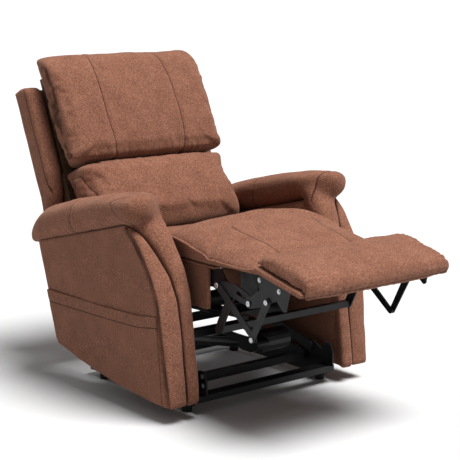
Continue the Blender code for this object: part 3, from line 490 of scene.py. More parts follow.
def weld(bms, voxel):
    """One even skin round several closed skins that overlap."""
    whole = bmesh.new()
    for bm in bms:
        mesh = bpy.data.meshes.new("part")
        bm.to_mesh(mesh)
        bm.free()
        whole.from_mesh(mesh)
        bpy.data.meshes.remove(mesh)
    obj = as_object(whole, "welding")
    mod = obj.modifiers.new("remesh", "REMESH")
    mod.mode = "VOXEL"
    mod.voxel_size = voxel
    return as_bmesh(shape_now(obj), obj)


def stuff(bm, cap, voxel=0.006):
    """Fill a slack cover: its cloth is blown up from inside, no point moving more than `cap`."""
    bm = weld([bm], voxel)
    obj = as_object(bm, "stuffing")
    rest = [v.co.copy() for v in obj.data.vertices]
    cloth = obj.modifiers.new("cloth", "CLOTH")
    for key, value in (("quality", 5), ("mass", 0.3), ("tension_stiffness", 15.0),
                       ("compression_stiffness", 15.0), ("bending_stiffness", 0.6),
                       ("use_pressure", True), ("uniform_pressure_force", STUFFING_PRESSURE)):
        setattr(cloth.settings, key, value)
    cloth.settings.effector_weights.gravity = 0.0
    cloth.point_cache.frame_start = 1
    cloth.point_cache.frame_end = STUFFING_FRAMES
    for frame_number in range(1, STUFFING_FRAMES + 1):
        bpy.context.scene.frame_set(frame_number)
    mesh = shape_now(obj)
    for vert, start in zip(mesh.vertices, rest):
        step = vert.co - start
        if step.length > cap:
            step *= cap / step.length
        vert.co = start + step
    bpy.context.scene.frame_set(1)
    out = as_bmesh(mesh, obj)
    relax(out, out.verts)
    return out


def slab(outline, inner, outer, side, edge, step=0.011):
    """A covered board: a closed outline from |x| inner to outer, its outer rim rounded by `edge`.

    inner and outer are numbers or functions of height.
    """
    dense = []
    for a, b in turns(outline):
        count = max(2, int((Vector(b) - Vector(a)).length / step))
        dense += [Vector(a).lerp(Vector(b), t / count) for t in range(count)]
    normals = outward(dense)
    centre = sum(dense, Vector((0, 0))) / len(dense)
    # Each ring: share of the way outwards, step back from there, inset of the outline, shrink to its centre.
    rings = [(0.0, 0.0, edge * 0.3, s) for s in (0.92, 0.6, 0.25, 0)]
    rings += [(0.15, 0.0, 0.0, 0), (0.5, 0.0, 0.0, 0)]
    rings += [(1.0, edge * back, edge * inset, 0)
              for back, inset in ((1.0, 0.0), (0.45, 0.16), (0.15, 0.45), (0.0, 0.9))]
    rings += [(1.0, 0.0, edge * 1.1, s) for s in (0.06, 0.14, 0.24, 0.34, 0.44, 0.54, 0.64, 0.74, 0.84, 0.93)]
    made = []
    for share, back, inset, shrink in rings:
        points = []
        for p, n in zip(dense, normals):
            q = (p - n * inset).lerp(centre, shrink)
            a = inner(q.y) if callable(inner) else inner
            b = outer(q.y) if callable(outer) else outer
            points.append(at(side * (a + share * (b - a) - back), q.x, q.y))
        made.append(points)
    return skin(made)


def put(bm, name, body, slot, bend=None):
    """Make a bmesh the named piece, in its slot and finish.

    Without `bend` it rides on a body. With `bend` it rides on no body and is not bent: the second body
    and the two side-view places that `bend` holds are not used.
    """
    obj = as_object(bm, name)
    finish(obj.data, slot)
    if bend:
        moving, start, end = bend
        at(0, *start)
        at(0, *end)
        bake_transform(obj)
    else:
        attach(obj, body)
    return obj


def put_soft(bm, name, body, stands_for=(), bend=None):
    """The same for a padded cover, with a smooth skin."""
    if not bm.verts.layers.float.get("seam"):
        mark_seam(bm, lambda p: AWAY)
    obj = put(bm, name, body, "brown_microfibre", bend)
    obj.data.shade_smooth()
    sub = obj.modifiers.new("smooth", "SUBSURF")
    sub.levels = sub.render_levels = 1
    if stands_for:
        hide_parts(*stands_for)


class PieceOperator:
    """What every operator below shares: execute makes its pieces."""
    bl_options = {"REGISTER", "UNDO"}

    def execute(self, context):
        self.make()
        return {"FINISHED"}


# ---- back -------------------------------------------------------------------------------------

BACK_PIVOT = Vector((0.520, 0.440))
BACK_SLOPE = 66
UP_BACK = heading(BACK_SLOPE)
FRONT_OF_BACK = heading(BACK_SLOPE + 90)
PILLOW_HALF = 0.319
LUMBAR_HALF = 0.280


def on_back(front, up):
    """Side-view place of a place on the leaned back, forward and up from its pivot."""
    return BACK_PIVOT + FRONT_OF_BACK * front + UP_BACK * up


def back_place(p):
    """(forward, up) of a world place on the leaned back."""
    d = Vector((p.y - SHIFT, p.z)) - BACK_PIVOT
    return d.dot(FRONT_OF_BACK), d.dot(UP_BACK)


def back_front(normal):
    """How much a profile's normal faces forward on the back, from 0 to 1."""
    return clamp(0.5 + normal.dot(FRONT_OF_BACK))


def widening(value, gain, power):
    """A width's share at a place: 1 up to value 0, and 1 + gain from value 1 on."""
    return 1.0 + gain * clamp(value) ** power


def gathered(x, y, fine=0.0046):
    """Height, from -1 to 1, of the small folds that a seam draws up along itself."""
    wave = math.sin(x / fine + 2.2 * soft_noise((x, y, 0), 0.035))
    return wave * clamp(0.45 + 1.3 * soft_noise((x, y, 5), 0.030))


class RECLINER_OT_head_pillow(PieceOperator, bpy.types.Operator):
    """Head pillow with a boxed side, two curved channels and a gathered lower edge"""
    bl_idname = "recliner.head_pillow"
    bl_label = "Head pillow"

    def make(self):
        rows = [(-0.104, 0.299), (-0.060, 0.297), (-0.020, 0.296), (0.003, 0.297), (0.012, 0.308),
                (0.011, 0.350), (0.012, 0.420), (0.009, 0.500), (0.000, 0.565), (-0.016, 0.622),
                (-0.040, 0.662), (-0.070, 0.683), (-0.104, 0.684), (-0.105, 0.600), (-0.105, 0.450),
                (-0.105, 0.350)]
        profile = smooth_line([on_back(*r) for r in rows], True)

        def width_at(p):
            up = (p - BACK_PIVOT).dot(UP_BACK)
            front = (p - BACK_PIVOT).dot(FRONT_OF_BACK)
            rear = 0.850 + 0.10 * clamp((up - 0.30) / 0.38)
            return rear + (1.0 - rear) * clamp((front + 0.105) / 0.080)

        bm = pad_skin(profile, PILLOW_HALF, 0.022, 0.014, back_front, 0.010, width_at)
        bm = stuff(bm, 0.010, voxel=0.0062)

        def channel(p):
            return abs(p.x) - (0.150 - 0.012 * ((back_place(p)[1] - 0.48) / 0.2) ** 2)

        def boxing(p):
            return abs(p.x) - 0.311

        def nearer(p):
            front = back_place(p)[0]
            return nearest(channel(p), boxing(p)) if front > -0.075 else nearest(boxing(p), AWAY)

        def folds(p, n):
            front, up = back_place(p)
            low = bell(up - 0.305, 0.034) * (1 if front > -0.08 else 0)
            rim = bell(abs(p.x) - 0.305, 0.030)
            drawn = low * gathered(p.x, up) + 0.7 * rim * gathered(up, front, 0.0062)
            beside = 0.4 * bell(channel(p), 0.030) * gathered(up, 1.0)
            roll = soft_noise(p, 0.13, 4.0) * 0.0045 + soft_noise(p, 0.05, 9.0) * 0.0014
            return n * (settings().cushion.pucker * (drawn + beside) * 0.8 + roll)

        sculpt(bm, folds)
        sew(bm, nearer)
        put_soft(bm, "pillow_cover", "back", ("head_pillow",),
                 bend=("headrest", on_back(0.0, 0.292), on_back(0.0, 0.420)))


class RECLINER_OT_lumbar_cushion(PieceOperator, bpy.types.Operator):
    """Lumbar cushion, full in front and boxed at its sides"""
    bl_idname = "recliner.lumbar_cushion"
    bl_label = "Lumbar cushion"

    def make(self):
        rows = [(-0.104, 0.024), (-0.050, 0.023), (0.012, 0.024), (0.048, 0.036), (0.062, 0.072),
                (0.061, 0.125), (0.050, 0.182), (0.034, 0.232), (0.022, 0.267), (0.006, 0.280),
                (-0.040, 0.284), (-0.075, 0.285), (-0.104, 0.283), (-0.105, 0.230), (-0.105, 0.120)]
        profile = smooth_line([on_back(*r) for r in rows], True)

        def width_at(p):
            return widening(((p - BACK_PIVOT).dot(UP_BACK) - 0.212) / 0.055, 0.040, 1.2)

        bm = pad_skin(profile, LUMBAR_HALF, 0.026, 0.014, back_front, 0.009, width_at)
        bm = stuff(bm, 0.008)

        def boxing(p):
            wide = widening((back_place(p)[1] - 0.17) / 0.095, 0.095, 1.3)
            return abs(p.x) - (0.284 * wide - 0.010)

        def folds(p, n):
            front, up = back_place(p)
            top = bell(up - 0.272, 0.030)
            rim = 0.6 * bell(abs(p.x) - 0.285, 0.034)
            drawn = 0.6 * top * gathered(p.x, up) + 0.7 * rim * gathered(up, front)
            roll = soft_noise(p, 0.12, 2.0) * 0.0040 + soft_noise(p, 0.045, 3.0) * 0.0012
            return n * (settings().cushion.pucker * drawn + roll)

        sculpt(bm, folds)
        sew(bm, lambda p: nearest(boxing(p), AWAY) if back_place(p)[0] > -0.09 else AWAY, depth=0.002)
        put_soft(bm, "lumbar_cover", "back", ("lumbar_cushion",))


class RECLINER_OT_back_shell(PieceOperator, bpy.types.Operator):
    """Upholstered back shell and its two side wings"""
    bl_idname = "recliner.back_shell"
    bl_label = "Back shell"

    def make(self):
        rows = [(-0.190, -0.118), (-0.152, -0.118), (-0.151, 0.200), (-0.151, 0.598), (-0.190, 0.599),
                (-0.1905, 0.200)]
        line = divided([on_back(*r) for r in rows], 10)
        bm = pad_skin(line, 0.2875, 0.010, 0.010, lambda n: 0.0, 0.0, side_bulge=0.0)
        put_soft(bm, "shell_cover", "back", ("back_shell",))
        for side_name, side in SIDES:
            rows = [(-0.190, 0.141), (-0.172, 0.152), (-0.149, 0.184), (-0.126, 0.222), (-0.1075, 0.300),
                    (-0.1065, 0.440), (-0.1065, 0.580), (-0.122, 0.597), (-0.152, 0.604), (-0.190, 0.603)]
            bm = slab([on_back(*r) for r in rows], 0.2884, 0.351, side, 0.016)
            sculpt(bm, lambda p, n: n * soft_noise(p, 0.07, 3.0) * 0.0018 if abs(p.x) > 0.30 else n * 0)
            sew(bm, lambda p: (back_place(p)[0] + 0.1235) if abs(p.x) > 0.32 else AWAY, depth=0.0025)
            put_soft(bm, "wing_cover_" + side_name, "back", ("wing_" + side_name,))


# ---- seat -------------------------------------------------------------------------------------

SEAT_HALF = 0.285
CHAISE_HALF = 0.270
CHAISE_FRONT, SEAT_REAR = -0.234, 0.4295
SEAT_MIDDLE = ((-0.234, 0.494), (-0.226, 0.504), (-0.208, 0.514), (-0.180, 0.526), (-0.120, 0.545),
               (-0.080, 0.554), (-0.030, 0.567), (0.020, 0.583), (0.070, 0.589), (0.120, 0.583),
               (0.180, 0.562), (0.250, 0.534), (0.330, 0.516), (0.400, 0.506), (0.4295, 0.492))
SEAT_RIM = ((-0.234, 0.494), (-0.200, 0.487), (-0.163, 0.481), (-0.090, 0.484), (-0.025, 0.493),
            (0.069, 0.522), (0.150, 0.535), (0.250, 0.522), (0.4295, 0.490))
SEAT_UNDER = 0.4712
CHAISE_HINGE = -0.082


def read_off(table, y):
    """Height at y from a table of places that straight lines join."""
    if y <= table[0][0]:
        return table[0][1]
    for (a, u), (b, v) in zip(table, table[1:]):
        if y <= b:
            t = (y - a) / (b - a)
            return u + (v - u) * t
    return table[-1][1]


class RECLINER_OT_seat_cushion(PieceOperator, bpy.types.Operator):
    """Seat and chaise pad in one cover, piped along its sides"""
    bl_idname = "recliner.seat_cushion"
    bl_label = "Seat and chaise"

    def half_at(self, y):
        """Half the cover's width, which narrows to the chaise and rounds off at its front."""
        narrow = SEAT_HALF - (SEAT_HALF - CHAISE_HALF) * clamp((-0.02 - y) / 0.09)
        nose = max(0.0, (-0.190 - y) / 0.044)
        return narrow - 0.020 * (1 - math.sqrt(max(0.0, 1 - nose * nose)))

    def ring(self, y, shrink=0.0):
        """One slice: the crowned top, the piping at each side and the underside."""
        def softened(table):
            return sum(read_off(table, y + d) for d in (-0.020, -0.010, 0.0, 0.010, 0.020)) / 5

        middle = softened(SEAT_MIDDLE) if -0.2 < y < 0.4 else read_off(SEAT_MIDDLE, y)
        rim = softened(SEAT_RIM)
        half = self.half_at(y)
        cord = PIPING
        top = []
        steps = 56
        for k in range(steps + 1):
            share = math.sin(math.pi * (k / steps - 0.5))
            x = share * (half - 1.7 * cord)
            rise = (1 - abs(share) ** 2.8) ** 0.62
            low = rim + 0.6 * cord
            top.append((x, low + max(0.0, middle - low) * rise))
        right = []
        for turn in (100, 65, 30, 0, -30, -65, -100):
            a = math.radians(turn)
            right.append((half - cord + cord * math.cos(a), rim + cord * math.sin(a)))
        side_in = half - 2.4 * cord
        under = [(side_in, rim - cord * 1.3), (side_in - 0.003, rim * 0.5 + SEAT_UNDER * 0.5 - 0.002),
                 (side_in - 0.006, SEAT_UNDER + 0.002), (side_in - 0.016, SEAT_UNDER)]
        flat = [(under[-1][0] * (1 - 2 * k / 24), SEAT_UNDER) for k in range(1, 24)]
        loop = top + right + under + flat + [(-x, z) for x, z in reversed(right + under)]
        centre = (middle + SEAT_UNDER) / 2
        return [at(x - x * shrink, y, z + (centre - z) * shrink) for x, z in loop]

    def make(self):
        length = SEAT_REAR - CHAISE_FRONT
        count = int(length / 0.0055)
        caps = (0.85, 0.6, 0.35, 0.15)
        rings = [self.ring(CHAISE_FRONT, s) for s in caps]
        rings += [self.ring(CHAISE_FRONT + length * k / count) for k in range(count + 1)]
        rings += [self.ring(CHAISE_FRONT + length, s) for s in reversed(caps)]
        bm = skin(rings)

        def fold_line(p):
            """Distance behind the curved crease where the seat meets the chaise."""
            return p.y - SHIFT - (0.055 - 0.090 * (p.x / SEAT_HALF) ** 2)

        def folds(p, n):
            y = p.y - SHIFT
            top = 1.0 if n.z > 0.15 else 0.0
            half = self.half_at(y)
            rim = bell(abs(p.x) - (half - 0.030), 0.030) * top
            drawn = rim * gathered(y, p.x, 0.0024)
            crease = -1.0 * bell(fold_line(p), 0.010) + 0.5 * bell(fold_line(p) - 0.030, 0.022)
            sag = soft_noise(p, 0.11, 1.0) * 0.0055 + soft_noise(p, 0.045, 2.0) * 0.0016
            fan = 0.6 * bell(fold_line(p) + 0.02, 0.045) * gathered(p.x, y, 0.0065)
            cup = -0.004 * bell(abs(p.x) - 0.21, 0.05) * bell(y - 0.02, 0.06)
            across = n * (settings().cushion.pucker * (1.1 * drawn + fan) * 0.9 + sag * top)
            return across + Vector((0, 0, top * (0.0065 * crease + cup)))

        def channel(p):
            if p.z > 0.497 and fold_line(p) < -0.010:
                return abs(p.x) - (0.141 + 0.012 * max(0.0, (p.y - SHIFT + 0.12) / 0.1))
            return AWAY

        sculpt(bm, folds)
        sew(bm, channel, depth=0.003)
        put_soft(bm, "seat_cover", "chair", ("seat_cushion", "chaise_pad"),
                 bend=("chaise", (CHAISE_HINGE + 0.045, 0.5), (CHAISE_HINGE - 0.035, 0.5)))


class RECLINER_OT_seat_box(PieceOperator, bpy.types.Operator):
    """Covered rails and deck of the seat box"""
    bl_idname = "recliner.seat_box"
    bl_label = "Seat box"

    def make(self):
        for side_name, side in SIDES:
            outline = [(0.001, 0.331), (0.001, 0.461), (0.434, 0.461), (0.529, 0.405), (0.529, 0.331)]
            bm = slab(outline, 0.2453, 0.2598, side, 0.004)
            ripple(bm, 0.06, 3.0, 0.0007)
            put_soft(bm, "rail_cover_" + side_name, "chair", ("seat_rail_" + side_name,))
        deck = [Vector(c) for c in ((-0.044, 0.4625), (-0.044, 0.4697), (0.4245, 0.4697), (0.4245, 0.4625))]
        bm = pad_skin(divided(deck, 10), CHAISE_HALF, 0.003, 0.003, lambda n: 1.0, 0.0, side_bulge=0.0)
        put_soft(bm, "deck_cover", "chair", ("seat_deck",))


# ---- footrest ---------------------------------------------------------------------------------

BOARD_REAR = Vector((-0.241, 0.491))
BOARD_DIP = 12.4            # degrees by which the board falls towards its front
BOARD_FORWARD = heading(180 + BOARD_DIP)
BOARD_UP = heading(90 + BOARD_DIP)


def on_board(forward, up):
    """Side-view place of a place on the footrest's board, from the board's lower rear edge."""
    return BOARD_REAR + BOARD_FORWARD * forward + BOARD_UP * up


def board_place(p):
    """(forward, up) of a world place on the board."""
    d = Vector((p.y - SHIFT, p.z)) - BOARD_REAR
    return d.dot(BOARD_FORWARD), d.dot(BOARD_UP)


class RECLINER_OT_footrest_pad(PieceOperator, bpy.types.Operator):
    """Footrest pad, wrapped over the front of its covered board"""
    bl_idname = "recliner.footrest_pad"
    bl_label = "Footrest pad"

    def make(self):
        rows = [(0.004, 0.0192), (0.100, 0.0192), (0.204, 0.0192), (0.2080, 0.010), (0.2085, -0.001),
                (0.2150, -0.004), (0.2240, 0.001), (0.2280, 0.014), (0.2260, 0.030), (0.2140, 0.0440),
                (0.1850, 0.0530), (0.1400, 0.0580), (0.0900, 0.0590), (0.0500, 0.0560), (0.0180, 0.0480),
                (-0.0010, 0.0340)]
        profile = smooth_line([on_board(*r) for r in rows], True)
        bm = pad_skin(profile, 0.282, 0.022, 0.006, lambda n: clamp(0.5 + n.dot(BOARD_UP)), 0.004)
        bm = stuff(bm, 0.005, voxel=0.005)

        def folds(p, n):
            forward, up = board_place(p)
            rim = 1.4 * bell(abs(p.x) - 0.268, 0.022) * gathered(forward, 0.0, 0.0026)
            rear = 0.8 * bell(forward - 0.008, 0.022) * gathered(p.x, 1.0, 0.0028)
            front = 0.5 * bell(forward - 0.222, 0.020) * gathered(p.x, 2.0, 0.0040)
            sag = soft_noise(p, 0.09, 5.0) * 0.0038 + soft_noise(p, 0.04, 6.0) * 0.0014
            top = 1 if up > 0.022 else 0
            return n * (settings().cushion.pucker * (rim + rear + front) * 0.7 + sag * top)

        sculpt(bm, folds)
        sew(bm, lambda p: board_place(p)[1] - 0.009 if board_place(p)[0] > 0.212 else AWAY, depth=0.0022)
        put_soft(bm, "footrest_cover", "footrest", ("footrest_pad",))
        rows = [(0.001, 0.0004), (0.205, 0.0004), (0.205, 0.0174), (0.001, 0.0174)]
        line = divided([on_board(*r) for r in rows], 8)
        bm = pad_skin(line, 0.2905, 0.007, 0.007, lambda n: 1.0, 0.0, side_bulge=0.0008)
        ripple(bm, 0.03, 5.0, 0.0007)
        put_soft(bm, "board_cover", "footrest", ("footrest_board",))


# ---- arms -------------------------------------------------------------------------------------

ARM_TOE, ARM_KNEE, ARM_PULL, ARM_NECK = (0.0, 0.050), (0.037, 0.345), (0.048, 0.440), (0.177, 0.570)
ARM_TAIL = (0.690, 0.451)
MIDDLE_SEAM = ((0.05, 0.340), (0.24, 0.340), (0.36, 0.344), (0.43, 0.353), (0.483, 0.368), (0.534, 0.387),
               (0.564, 0.404), (0.600, 0.424))
ROLL_CENTRE = 0.3699        # |x| of the middle of an arm's roll
ROLL_FRONT, ROLL_DEPTH = 0.118, 0.115
ARM_INNER, ARM_WIDEST = 0.2938, 0.446


def neck_line(y):
    """Height of the roll's underside."""
    return ARM_TAIL[1] - 0.245 * (y - ARM_TAIL[0])


def arm_outer(z):
    """|x| of an arm's outer face, which leans out."""
    return 0.403 + 0.041 * z


def lobe_seam(z):
    """|x| of the seam between an arm's two front lobes."""
    return read_off(MIDDLE_SEAM, z)


def lobe_depth(low, gain):
    """How far a lobe stands forward at a height: more towards the roll."""
    return lambda z: low + gain * clamp((z - 0.40) / 0.14)


def arm_front_line(count):
    """The arm's front edge from toe to neck."""
    line = [Vector(ARM_TOE).lerp(Vector(ARM_KNEE), t / 20) for t in range(20)]
    for i in range(21):
        t = i / 20
        line.append(Vector(ARM_KNEE) * (1 - t) ** 2 + Vector(ARM_PULL) * 2 * t * (1 - t)
                    + Vector(ARM_NECK) * t * t)
    return resample(line, count, False)


def oval(count, power):
    """Places around a section with flattened sides: (across, up), each from -1 to 1."""
    for k in range(count):
        turn = 2 * math.pi * k / count
        c, s = math.cos(turn), math.sin(turn)
        yield math.copysign(abs(c) ** 0.75, c), math.copysign(abs(s) ** power, s)


class RECLINER_OT_arms(PieceOperator, bpy.types.Operator):
    """Arms: outer panel, outer lobe, and the inner lobe that flows over the roll's front"""
    bl_idname = "recliner.arms"
    bl_label = "Arms"

    def lobe(self, side, inner, outer, depth, into_roll=0):
        """A long padded strip that follows the arm's front edge; inner and outer are |x| by height."""
        path = arm_front_line(80)
        path += [path[-1] + Vector((0.0035, 0.0070)) * (k + 1) for k in range(into_roll)]
        rings = []
        last = len(path) - 1
        for i, p in enumerate(path):
            run = (path[min(i + 1, last)] - path[max(i - 1, 0)]).normalized()
            ahead = Vector((-run.y, run.x))
            x0, x1 = inner(p.y), outer(p.y)
            middle, half = (x0 + x1) / 2, max(0.002, (x1 - x0) / 2)
            close = min(1.0, (i + 0.35) / 1.6)
            swell = depth(p.y) * min(1.0, half / 0.02)
            points = []
            for across, push in oval(24, 0.8):
                across = half * across * (0.9 + 0.1 * close)
                push = push * swell if push > 0 else push * 0.030
                q = p + ahead * (push * close)
                points.append(at(side * (middle + across), q.x, q.y))
            rings.append(points)
        return skin(rings)

    def make(self):
        for side_name, side in SIDES:
            outer = self.lobe(side, lambda z: lobe_seam(z) + 0.0008, lambda z: arm_outer(z) - 0.002,
                              lobe_depth(0.009, 0.010))
            ripple(outer, 0.06, 3.0, 0.0018)
            mark_seam(outer, lambda p: nearest(arm_outer(p.z) - 0.0015 - abs(p.x), abs(p.x) - lobe_seam(p.z)))
            put_soft(outer, "arm_outer_lobe_" + side_name, "chair")
            inner = self.lobe(side, lambda z: ARM_INNER, lambda z: lobe_seam(z) - 0.0008,
                              lobe_depth(0.012, 0.026), into_roll=6)
            self.cover(side_name, inner, self.roll(side))
            self.panel(side, side_name)
        self.pocket()

    def cover(self, side_name, lobe, roll):
        """Inner lobe and roll in one skin, relaxed most at the front, so that one flows into the other."""
        bm = weld([lobe, roll], 0.005)
        for reach, passes in ((0.300, 5), (0.262, 8), (0.226, 12), (0.200, 12)):
            low = 0.60 - 0.9 * (reach - 0.15)
            flow = [v for v in bm.verts
                    if v.co.y - SHIFT < reach and low < v.co.z and abs(v.co.x) < 0.436]
            for _ in range(passes):
                relax(bm, flow)
        relax(bm, bm.verts)

        def front_panel(p):
            if p.z < 0.572:
                return AWAY
            turn = math.degrees(math.atan2(p.z - 0.61, abs(p.x) - ROLL_CENTRE))
            return p.y - SHIFT - (0.163 + 0.075 * math.exp(-((turn - 22) / 26) ** 2))

        def sleeve(p):
            return p.y - SHIFT - 0.455 if p.z > neck_line(p.y - SHIFT) + 0.004 else AWAY

        def folds(p, n):
            y = p.y - SHIFT
            roll = soft_noise(p, 0.10, 7.0) * 0.0032 + soft_noise(p, 0.04, 5.0) * 0.0011
            beside = bell(sleeve(p), 0.022) * gathered(p.z + abs(p.x), y)
            low = bell(p.z - neck_line(y) - 0.010, 0.016) * gathered(y, 0.5, 0.0034) if y > 0.2 else 0.0
            return n * (roll + settings().cushion.pucker * 0.45 * (beside + low))

        def between_lobes(p):
            on_lobe = p.z < 0.545 and p.y - SHIFT < 0.190
            return lobe_seam(p.z) - abs(p.x) if on_lobe else AWAY

        sculpt(bm, folds)
        sew(bm, lambda p: nearest(front_panel(p), sleeve(p), between_lobes(p)), depth=0.0026)
        put_soft(bm, "arm_cover_" + side_name, "chair", ("arm_roll_" + side_name,))

    def panel(self, side, side_name):
        """The arm's flat body, which its lobes and its roll overlap."""
        front = [p + Vector((0.010, 0.0)) for p in arm_front_line(24)]
        neck = ARM_NECK[0] + 0.012
        rear = ((neck, neck_line(neck) + 0.006), (ARM_TAIL[0] - 0.004, ARM_TAIL[1] + 0.006), (0.604, 0.127),
                (0.48, 0.0986), (0.36, 0.0773), (0.24, 0.0622), (0.12, 0.053))
        bm = slab(front + [Vector(c) for c in rear], ARM_INNER, arm_outer, side, 0.008)
        sculpt(bm, lambda p, n: n * (soft_noise(p, 0.13, 8.0) * 0.0028 + soft_noise(p, 0.05, 9.0) * 0.0007)
               if abs(p.x) > 0.39 else n * 0)
        put_soft(bm, "arm_panel_" + side_name, "chair", ("arm_" + side_name,))

    def roll(self, side):
        """The padded roll on top, slice by slice from its rounded nose to its tail."""
        full = (ARM_WIDEST - ARM_INNER) / 2
        rings = []
        steps = [0.0, 0.0015, 0.004, 0.008, 0.013, 0.020, 0.028] + [0.036 + 0.0119 * i for i in range(44)]
        steps += [0.565, 0.580, 0.593, 0.603, 0.610, 0.615, 0.6185]
        for step in steps:
            y = ROLL_FRONT + step
            front = 1 - 0.27 * (max(0.0, 0.44 - y) / 0.31) ** 2
            past = max(0.0, y - 0.590) / 0.148
            tail = math.sqrt(max(0.0, 1 - past * past))
            nose = 1 - math.sqrt(max(0.0, 1 - (max(0.0, 0.034 - step) / 0.034) ** 2))
            half_z = max(0.004, ROLL_DEPTH * front * tail / 2 - 0.028 * nose)
            half_x = max(0.01, full * (0.45 + 0.55 * tail))
            level = neck_line(y) + ROLL_DEPTH * front * tail / 2
            points = []
            for across, up in oval(40, 0.75):
                across = ROLL_CENTRE + (half_x - 0.030 * nose) * across
                # Seen from above, the nose falls back on both sides of its foremost point.
                back = (7.0 if across < 0.402 else 12.0) * (across - 0.402) ** 2
                back *= max(0.0, 1 - (y - ROLL_FRONT) / 0.30) ** 1.5
                points.append(at(side * across, y + back, level + half_z * up))
            rings.append(points)
        return skin(rings)

    def pocket(self):
        """A flat pocket on the sitter's right, with a row of stitching below its mouth."""
        mouth = [(0.045, 0.324), (0.140, 0.312), (0.300, 0.307), (0.643, 0.303)]
        low = [(0.601, 0.142), (0.48, 0.1046), (0.36, 0.0833), (0.24, 0.0682), (0.12, 0.059), (0.032, 0.056)]
        bm = slab(mouth + low, lambda z: arm_outer(z) + 0.0004, lambda z: arm_outer(z) + 0.0044, -1, 0.0022,
                  0.008)

        def hem(p):
            line = ((0.038, 0.292), (0.140, 0.276), (0.300, 0.270), (0.643, 0.264))
            return p.z - read_off(line, p.y - SHIFT)

        ripple(bm, 0.09, 6.0, 0.0012)
        sew(bm, hem, depth=0.0012)
        put_soft(bm, "pocket_cover", "chair", ("side_pocket",))


# ---- fasteners --------------------------------------------------------------------------------

# (body, name, side-view place, |x| of the face it sits on, radius, height, hexagonal)
HEADS = (
    ("chair", "ottoman_pin", (-0.065, 0.420), 0.2774, 0.0085, 0.0030, False),
    ("footrest", "bracket_pin", (-0.2157, 0.3936), 0.2828, 0.0085, 0.0030, False),
    ("footrest", "leg_pin", (-0.297, 0.413), 0.2872, 0.0078, 0.0028, False),
    ("front_leg", "knee_pin", (-0.232, 0.291), 0.2854, 0.0078, 0.0030, False),
    ("base", "lift_pin", (0.140, 0.075), 0.2637, 0.0080, 0.0030, False),
    ("base", "guide_pin", (0.112, 0.111), 0.2619, 0.0085, 0.0036, True),
    ("base", "tower_bolt_low", (0.022, 0.092), 0.2619, 0.0060, 0.0045, True),
    ("base", "tower_bolt_high", (0.026, 0.120), 0.2619, 0.0060, 0.0045, True),
    ("footrest", "board_bolt_rear", (-0.262, 0.470), 0.2810, 0.0055, 0.0030, True),
    ("footrest", "board_bolt_front", (-0.345, 0.452), 0.2810, 0.0055, 0.0030, True),
)


class RECLINER_OT_fasteners(PieceOperator, bpy.types.Operator):
    """Riveted pin heads and bolts on the mechanism's plates"""
    bl_idname = "recliner.fasteners"
    bl_label = "Fasteners"

    def head(self, place, face, side, radius, height, hexagonal):
        bm = bmesh.new()
        sides = 6 if hexagonal else 20
        bmesh.ops.create_cone(bm, cap_ends=True, segments=sides, radius1=radius, radius2=radius, depth=height)
        rim = [e for e in bm.edges if all(v.co.z > 0 for v in e.verts)]
        bmesh.ops.bevel(bm, geom=rim, offset=height * 0.3, segments=2, profile=0.5, affect="EDGES",
                        material=-1)
        if hexagonal:
            washer = bmesh.ops.create_cone(bm, cap_ends=True, segments=24, radius1=radius * 1.35,
                                           radius2=radius * 1.35, depth=0.0010)["verts"]
            bmesh.ops.translate(bm, verts=washer, vec=(0, 0, -height / 2 + 0.0004))
        turn = Matrix.Rotation(math.radians(90 * side), 4, "Y")
        spot = at(side * (face + height / 2), *place)
        bmesh.ops.transform(bm, matrix=Matrix.Translation(spot) @ turn, verts=bm.verts)
        bmesh.ops.recalc_face_normals(bm, faces=bm.faces)
        return bm

    def make(self):
        for side_name, side in SIDES:
            for body, name, place, face, radius, height, hexagonal in HEADS:
                bm = self.head(place, face, side, radius, height, hexagonal)
                put(bm, name + "_" + side_name, body, "plated_steel")


# ---- stage ------------------------------------------------------------------------------------

class RECLINER_OT_finishes(PieceOperator, bpy.types.Operator):
    """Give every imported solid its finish"""
    bl_idname = "recliner.finishes"
    bl_label = "Finishes"

    def make(self):
        slots = {part["node"]: part["material_slot"] for part in frame["record"]["subparts"]}
        for name, obj in frame["nodes"].items():
            obj.data.materials.clear()
            finish(obj.data, slots[name])


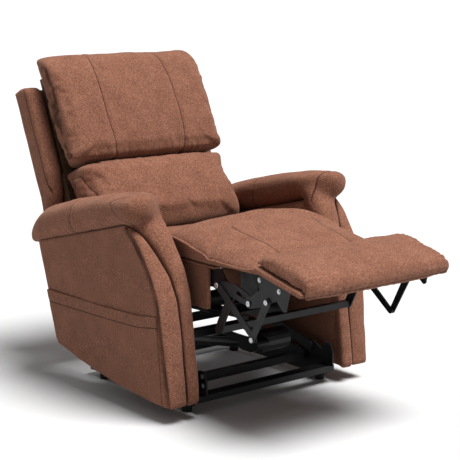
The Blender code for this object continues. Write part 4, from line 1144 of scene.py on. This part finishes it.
class RECLINER_OT_stage(PieceOperator, bpy.types.Operator):
    """Pale floor, soft light and the camera"""
    bl_idname = "recliner.stage"
    bl_label = "Stage"

    def light(self, name, towards, strength, spread):
        """A sun that shines from a direction, `spread` degrees across."""
        data = bpy.data.lights.new(name, "SUN")
        data.energy = strength
        data.angle = math.radians(spread)
        placed(name, data).rotation_euler = Vector(towards).to_track_quat("Z", "Y").to_euler()

    def make(self):
        s = settings().stage
        scene = bpy.context.scene
        scene.view_settings.view_transform = "Standard"
        bm = bmesh.new()
        bmesh.ops.create_grid(bm, x_segments=4, y_segments=4, size=90.0)
        floor = as_object(bm, "floor")
        finish(floor.data, "floor")
        world = scene.world = bpy.data.worlds.new("surround")
        world.use_nodes = True
        back = world.node_tree.nodes["Background"]
        back.inputs["Color"].default_value = grey(1.0)
        back.inputs["Strength"].default_value = s.fill
        self.light("key", (0.18, -0.34, 1.0), s.key, 30)
        self.light("back_light", (-0.35, 0.9, 0.55), s.key * 0.10, 60)
        data = bpy.data.cameras.new("camera")
        data.lens = 109.57
        data.sensor_width = 36.0
        data.clip_end = 250.0
        camera = placed("camera", data)
        place, aim = at(-2.7575, -3.1758, 1.3338), at(-0.093, 0.100, 0.538)
        camera.location = place
        camera.rotation_euler = (aim - place).to_track_quat("-Z", "Y").to_euler()
        scene.camera = camera


class RECLINER_PT_panel(bpy.types.Panel):
    """The chair's pieces, in the sidebar"""
    bl_idname = "RECLINER_PT_panel"
    bl_label = "Recliner"
    bl_space_type = "VIEW_3D"
    bl_region_type = "UI"
    bl_category = "Recliner"

    def draw(self, context):
        for name in ORDER:
            self.layout.operator("recliner." + name)


ORDER = ("stage", "finishes", "head_pillow", "lumbar_cushion", "back_shell", "seat_cushion", "seat_box",
         "footrest_pad", "arms", "fasteners")
CLASSES = (FabricSettings, CushionSettings, SteelSettings, StageSettings, ReclinerSettings,
           *PieceOperator.__subclasses__(), RECLINER_PT_panel)


def register():
    for cls in CLASSES:
        bpy.utils.register_class(cls)
    bpy.types.Scene.recliner = bpy.props.PointerProperty(type=ReclinerSettings)


def unregister():
    del bpy.types.Scene.recliner
    for cls in reversed(CLASSES):
        bpy.utils.unregister_class(cls)


def main():
    register()
    for name in ORDER:
        getattr(bpy.ops.recliner, name)()


if __name__ == "__main__":
    main()
